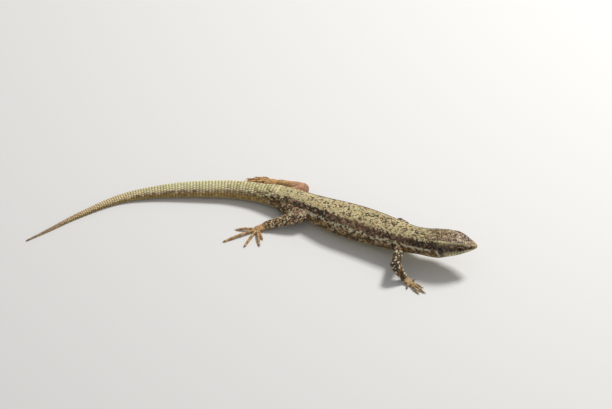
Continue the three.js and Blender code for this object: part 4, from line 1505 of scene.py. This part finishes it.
# ---------------------------------------------------------------- the scales of the limbs
# Leaf-like scales in rings round the arm, the thigh and the shank, smaller ones on the hand and foot, and
# a row of narrow plates along every finger and toe.
LIMB_FORM = scale_form(keel=0.15, rise=0.2, point=0.2, square=2.3)
LIMB_SCALE = {"upper": 0.47, "lower": 0.45, "palm": 0.38}
for limb in LIMBS:
    kind = limb.split("_")[0]
    r0, r1, r2, r3 = LIMBS[limb]["radii"]
    narrow, wide, half = PALM[kind]
    upper, lower, palm, digits = limb_lines(limb)
    coat = Coat(f"scales_{limb}", "skin_limb", LIMB_FORM)
    parts = [
        ("upper", upper, lambda t: r0 + (r1 - r0) * t, 0, LIMB_SCALE["upper"], 0, 1),
        ("lower", lower, lambda t: r2 + (r3 - r2) * t**SLIMMING, 1, LIMB_SCALE["lower"], 0, 1),
        ("palm", palm, lambda t: narrow + (wide - narrow) * t, 2, LIMB_SCALE["palm"], 0, 1),
    ]
    for number, digit in enumerate(digits):
        thick = DIGIT_RADIUS[kind]
        parts.append(("digit", digit, lambda t: thick, 3, 0.36, number, 5))
    for part, line, radius_at, start, width, band, bands in parts:
        rings = max(2, round(line.length / (width * 0.94)))
        for ring in range(rings + 1):
            along = line.length * ring / rings
            radius = float(radius_at(along / line.length))
            middle, forward, right, up = (v[0] for v in line.frame(np.array([along])))
            count = max(6, round(2 * math.pi * radius / width))
            for number in range(count):
                degrees = (number + 0.5 * (ring % 2)) * 360 / count + draw.normal(0, 1.5)
                turn = math.radians(degrees)
                out = math.cos(turn) * up + math.sin(turn) * right
                found = onto_hide(middle + out * (radius + 0.55), -out, 1.3 + radius * 0.4)
                if found:
                    place, facing = found
                    if start < 2 and np.linalg.norm(place - middle) > radius + 0.4:
                        continue
                    grown = width * draw.normal(1.06, 0.04)
                    long = grown * (1.25 if part == "digit" else 1.15)
                    root = (start + ring / (rings + 1), (band + (degrees % 360) / 360) / bands)
                    size = (long, grown, 0.26 * width)
                    coat.add(place, facing, forward, size, root, share=0.62)
    coat.finish()


# ---------------------------------------------------------------- the grain of the back, flanks and throat
# Small bead-like scales of horn, in rows across the back and down the flanks, each a little keeled and
# leaning back over the next.
def row_angles(behind, width, limit, shift):
    """Angles in degrees, width millimetres apart round the body, from the top to the limit on each side."""
    angles = np.radians(np.arange(0, limit + 1.0))
    radius = outline(np.full(len(angles), behind), angles, HIDE_DEPTH)
    steps = np.hypot(np.diff(radius), (radius[1:] + radius[:-1]) / 2 * np.diff(angles))
    around = np.concatenate([[0], np.cumsum(steps)])
    spots = np.arange(0.5 if shift else 0.0, around[-1] / width)
    right = np.degrees(np.interp(spots * width, around, angles))
    return np.concatenate([-right[::-1], right]) if shift else np.concatenate([-right[:0:-1], right])


GRAIN_FORM = scale_form(keel=0.12, rise=0.12, point=0.12)
TEMPLE_SCALE = 0.32
temples = Coat("grain_temples", "skin_head", GRAIN_FORM)
for row, behind in enumerate(np.arange(6.1, 12.4, 0.31)):
    for degrees in row_angles(behind, TEMPLE_SCALE, 179, row % 2):
        shown = abs(degrees)
        middle_gap = abs(shown - lip(min(behind, 8.8)))
        ear_gap = math.hypot((behind - 10.5) / 0.85, (shown - 85) / 15)
        if shown < 50 or (behind < 8.9 and middle_gap < 5) or ear_gap < 1:
            continue
        found = skin_spot(behind + draw.normal(0, 0.02), degrees + draw.normal(0, 0.3))
        if found:
            grown = TEMPLE_SCALE * draw.normal(1.05, 0.05)
            temples.add(*found, (grown * 1.05, grown, 0.09), (behind, degrees), share=0.8)
temples.finish()

# Where each part of the grain ends behind the snout, and how wide its scales are.
GRAIN = {
    "neck": (21, 0.36), "chest": (33, 0.41), "belly": (44, 0.44), "loins": (56, 0.44), "hips": (70.2, 0.42),
}
behind, row = 12.3, 0
for part, (end, width) in GRAIN.items():
    coat = Coat(f"grain_{part}", "skin_back", GRAIN_FORM)
    while behind < end:
        step = 0.34 + (width - 0.34) * float(soft_step(behind, 12, 30))
        row += 1
        limit = 179 if behind < 19.6 else BELLY_EDGE
        for degrees in row_angles(behind, step, limit, row % 2):
            jitter = draw.normal(0, 0.03, 2)
            root = (behind + jitter[0], degrees + jitter[1] * 10)
            found = skin_spot(*root)
            if found:
                grown = step * draw.normal(1.06, 0.05)
                coat.add(*found, (grown * 1.1, grown, 0.3 * step), root)
        behind += step * 0.96
    coat.finish()

# ---------------------------------------------------------------- the smallest scales
# Fine granules wherever the rows leave bare hide: on the lids, the temples and the throat, where the limbs
# join the body, and on the joints, the palms and the soles.
FINE_FORM = scale_form(rise=0.06)
lids = Coat("lid_granules", "skin_head", FINE_FORM)
for side in SIDES.values():
    middle, ahead, out, up = eye_axes(side)
    for row, past in enumerate((0.07, 0.22, 0.37, 0.52, 0.67)):
        t = np.linspace(0, 2 * math.pi, 721)
        long, tall = OPENING["long"], np.where(np.sin(t) > 0, OPENING["upper"], OPENING["lower"])
        u = long * np.cos(t)
        v = np.sign(np.sin(t)) * tall * (1 - np.abs(np.cos(t)) ** 2.2)
        away = np.stack([np.cos(t) / long, np.sin(t) / tall], 1)
        away /= np.linalg.norm(away, axis=1)[:, None]
        u, v = u + away[:, 0] * past, v + away[:, 1] * past * 1.2
        round_it = np.concatenate([[0], np.cumsum(np.hypot(np.diff(u), np.diff(v)))])
        size = 0.155 + 0.01 * row
        for at in np.arange((row % 2) * size / 2, round_it[-1] - size / 2, size):
            x, y = np.interp(at, round_it, u), np.interp(at, round_it, v)
            found = onto_hide(middle + ahead * x + up * y + out * 2.6, -out, 3.2)
            if found:
                lids.add(*found, ahead, (size * 1.08, size * 1.08, 0.07), (x, y + 3 * side), share=0.6)
lids.finish()

parts = {name: Coat(f"fine_scales_{name}", slot, FINE_FORM)
         for name, slot in (("head", "skin_head"), ("body", "skin_back"), ("limbs", "skin_limb"))}
triangle = np.array([f[:3] for f in hide_faces])
a, b, c = (places[triangle[:, i]] for i in range(3))
area = np.linalg.norm(np.cross(b - a, c - a), axis=1)
TRIES = 220000
FINE_SIZE = {"leg": 0.36, "palm": 0.27, "digit": 0.22, "head": 0.3, "body": 0.34}
chosen = draw.choice(len(area), TRIES, p=area / area.sum())
spread = draw.random((TRIES, 2))
spread = np.where(spread.sum(1, keepdims=True) > 1, 1 - spread, spread)
spots = a[chosen] + (b - a)[chosen] * spread[:, :1] + (c - a)[chosen] * spread[:, 1:]
kept = ground.uncovered(spots, 0.16)
spots, chosen = spots[kept], chosen[kept]
behind, angle, out = body_places(spots)
reach, kind = along_limbs(spots)
_, forward, _, _ = backbone.frame(behind)
bare = np.ones(len(spots), bool)
for name, side in SIDES.items():
    middle, ahead, away, up = eye_axes(side)
    u, depth, v = along_axes(spots, middle, ahead, away, up)
    bare &= ~((np.hypot(u, v) < 2) & (depth > -0.5) & (beyond_opening(u, v) < 0.05))
    middle = middle_of(f"ear_{name}")
    ahead, right, up = axes_at(middle)
    u, depth, v = along_axes(spots, middle, ahead, right * side, up)
    bare &= ~((ear_oval(u, v) < 1.1) & (np.abs(depth) < 2))
    bare &= gap_to(spots, dense([NOSTRIL], side)) > 0.32
    bare &= gap_to(spots, dense(MOUTH_LINE, side)) > 0.3
bare &= np.linalg.norm(spots - head_place(0.2, 0)[0], axis=1) > 1.0
for scale_size in (1.0, 0.78, 0.6):
    for i in np.flatnonzero(bare):
        on_limb = out[i] > 0.35
        if on_limb:
            place = "leg" if reach[i] < 2.2 else ("palm" if reach[i] < 3.05 else "digit")
        else:
            place = "head" if behind[i] < 14 else "body"
        size = FINE_SIZE[place] * scale_size
        if behind[i] > 71 and not on_limb:
            continue
        if ground.is_free(tuple(spots[i]), size, 0.82):
            name = "limbs" if on_limb else ("head" if behind[i] < 13 else "body")
            facing = facing_of(chosen[i])
            root = (behind[i], angle[i]) if not on_limb else (reach[i] + 4 * kind[i], angle[i])
            parts[name].add(spots[i], facing, forward[i], (size * 1.05, size, 0.26 * size), root, share=0.8)
for coat in parts.values():
    coat.finish()

# ---------------------------------------------------------------- the view
# A plain pale floor, one soft lamp and an even pale room. The camera looks down on the animal's right side
# from far off, through a long lens.
floor_mesh = bpy.data.meshes.new("floor")
sheet = bmesh.new()
bmesh.ops.create_grid(sheet, x_segments=1, y_segments=1, size=1.5)
sheet.to_mesh(floor_mesh)
sheet.free()
floor = bpy.data.objects.new("floor", floor_mesh)
bpy.context.scene.collection.objects.link(floor)
pale, _, surface = new_material("pale_floor")
surface.inputs["Base Color"].default_value = (0.7, 0.69, 0.67, 1)
surface.inputs["Roughness"].default_value = 0.8
floor_mesh.materials.append(pale)
floor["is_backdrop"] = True

ELEVATION = math.radians(42)
SHOWN_WIDTH = 194.3 * MM
HALF_FIELD = math.radians(2.2)
AIM_AHEAD, AIM_UP = 17.46 * MM, 9.87 * MM  # what the camera looks at, from the middle of the animal
camera = bpy.data.objects.new("camera", bpy.data.cameras.new("camera"))
bpy.context.scene.collection.objects.link(camera)
bpy.context.scene.camera = camera
camera.data.angle = 2 * HALF_FIELD
camera.data.clip_end = 20
distance = SHOWN_WIDTH / 2 / math.tan(HALF_FIELD)
back = Vector((0, -math.cos(ELEVATION), math.sin(ELEVATION)))
up = Vector((0, math.sin(ELEVATION), math.cos(ELEVATION)))
aim = Vector((AIM_AHEAD, 0, 0)) + up * AIM_UP
camera.location = aim + back * distance
camera.rotation_euler = (math.pi / 2 - ELEVATION, 0, 0)

world = bpy.data.worlds.new("studio")
bpy.context.scene.world = world
world.use_nodes = True
world.node_tree.nodes["Background"].inputs["Color"].default_value = (1, 1, 1, 1)
world.node_tree.nodes["Background"].inputs["Strength"].default_value = 0.42
lamp = bpy.data.lights.new("key", "AREA")
lamp.energy = 3.6
lamp.size = 0.15
lamp_ob = bpy.data.objects.new("key", lamp)
lamp_ob.location = (0.3, 0.25, 0.5)
lamp_ob.rotation_euler = (Vector(lamp_ob.location)).to_track_quat("Z", "Y").to_euler()
bpy.context.scene.collection.objects.link(lamp_ob)
bpy.context.scene.view_settings.view_transform = "Standard"

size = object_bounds()
{"cad": [list(c) for c in cad_box], "visual": [list(c) for c in size]}
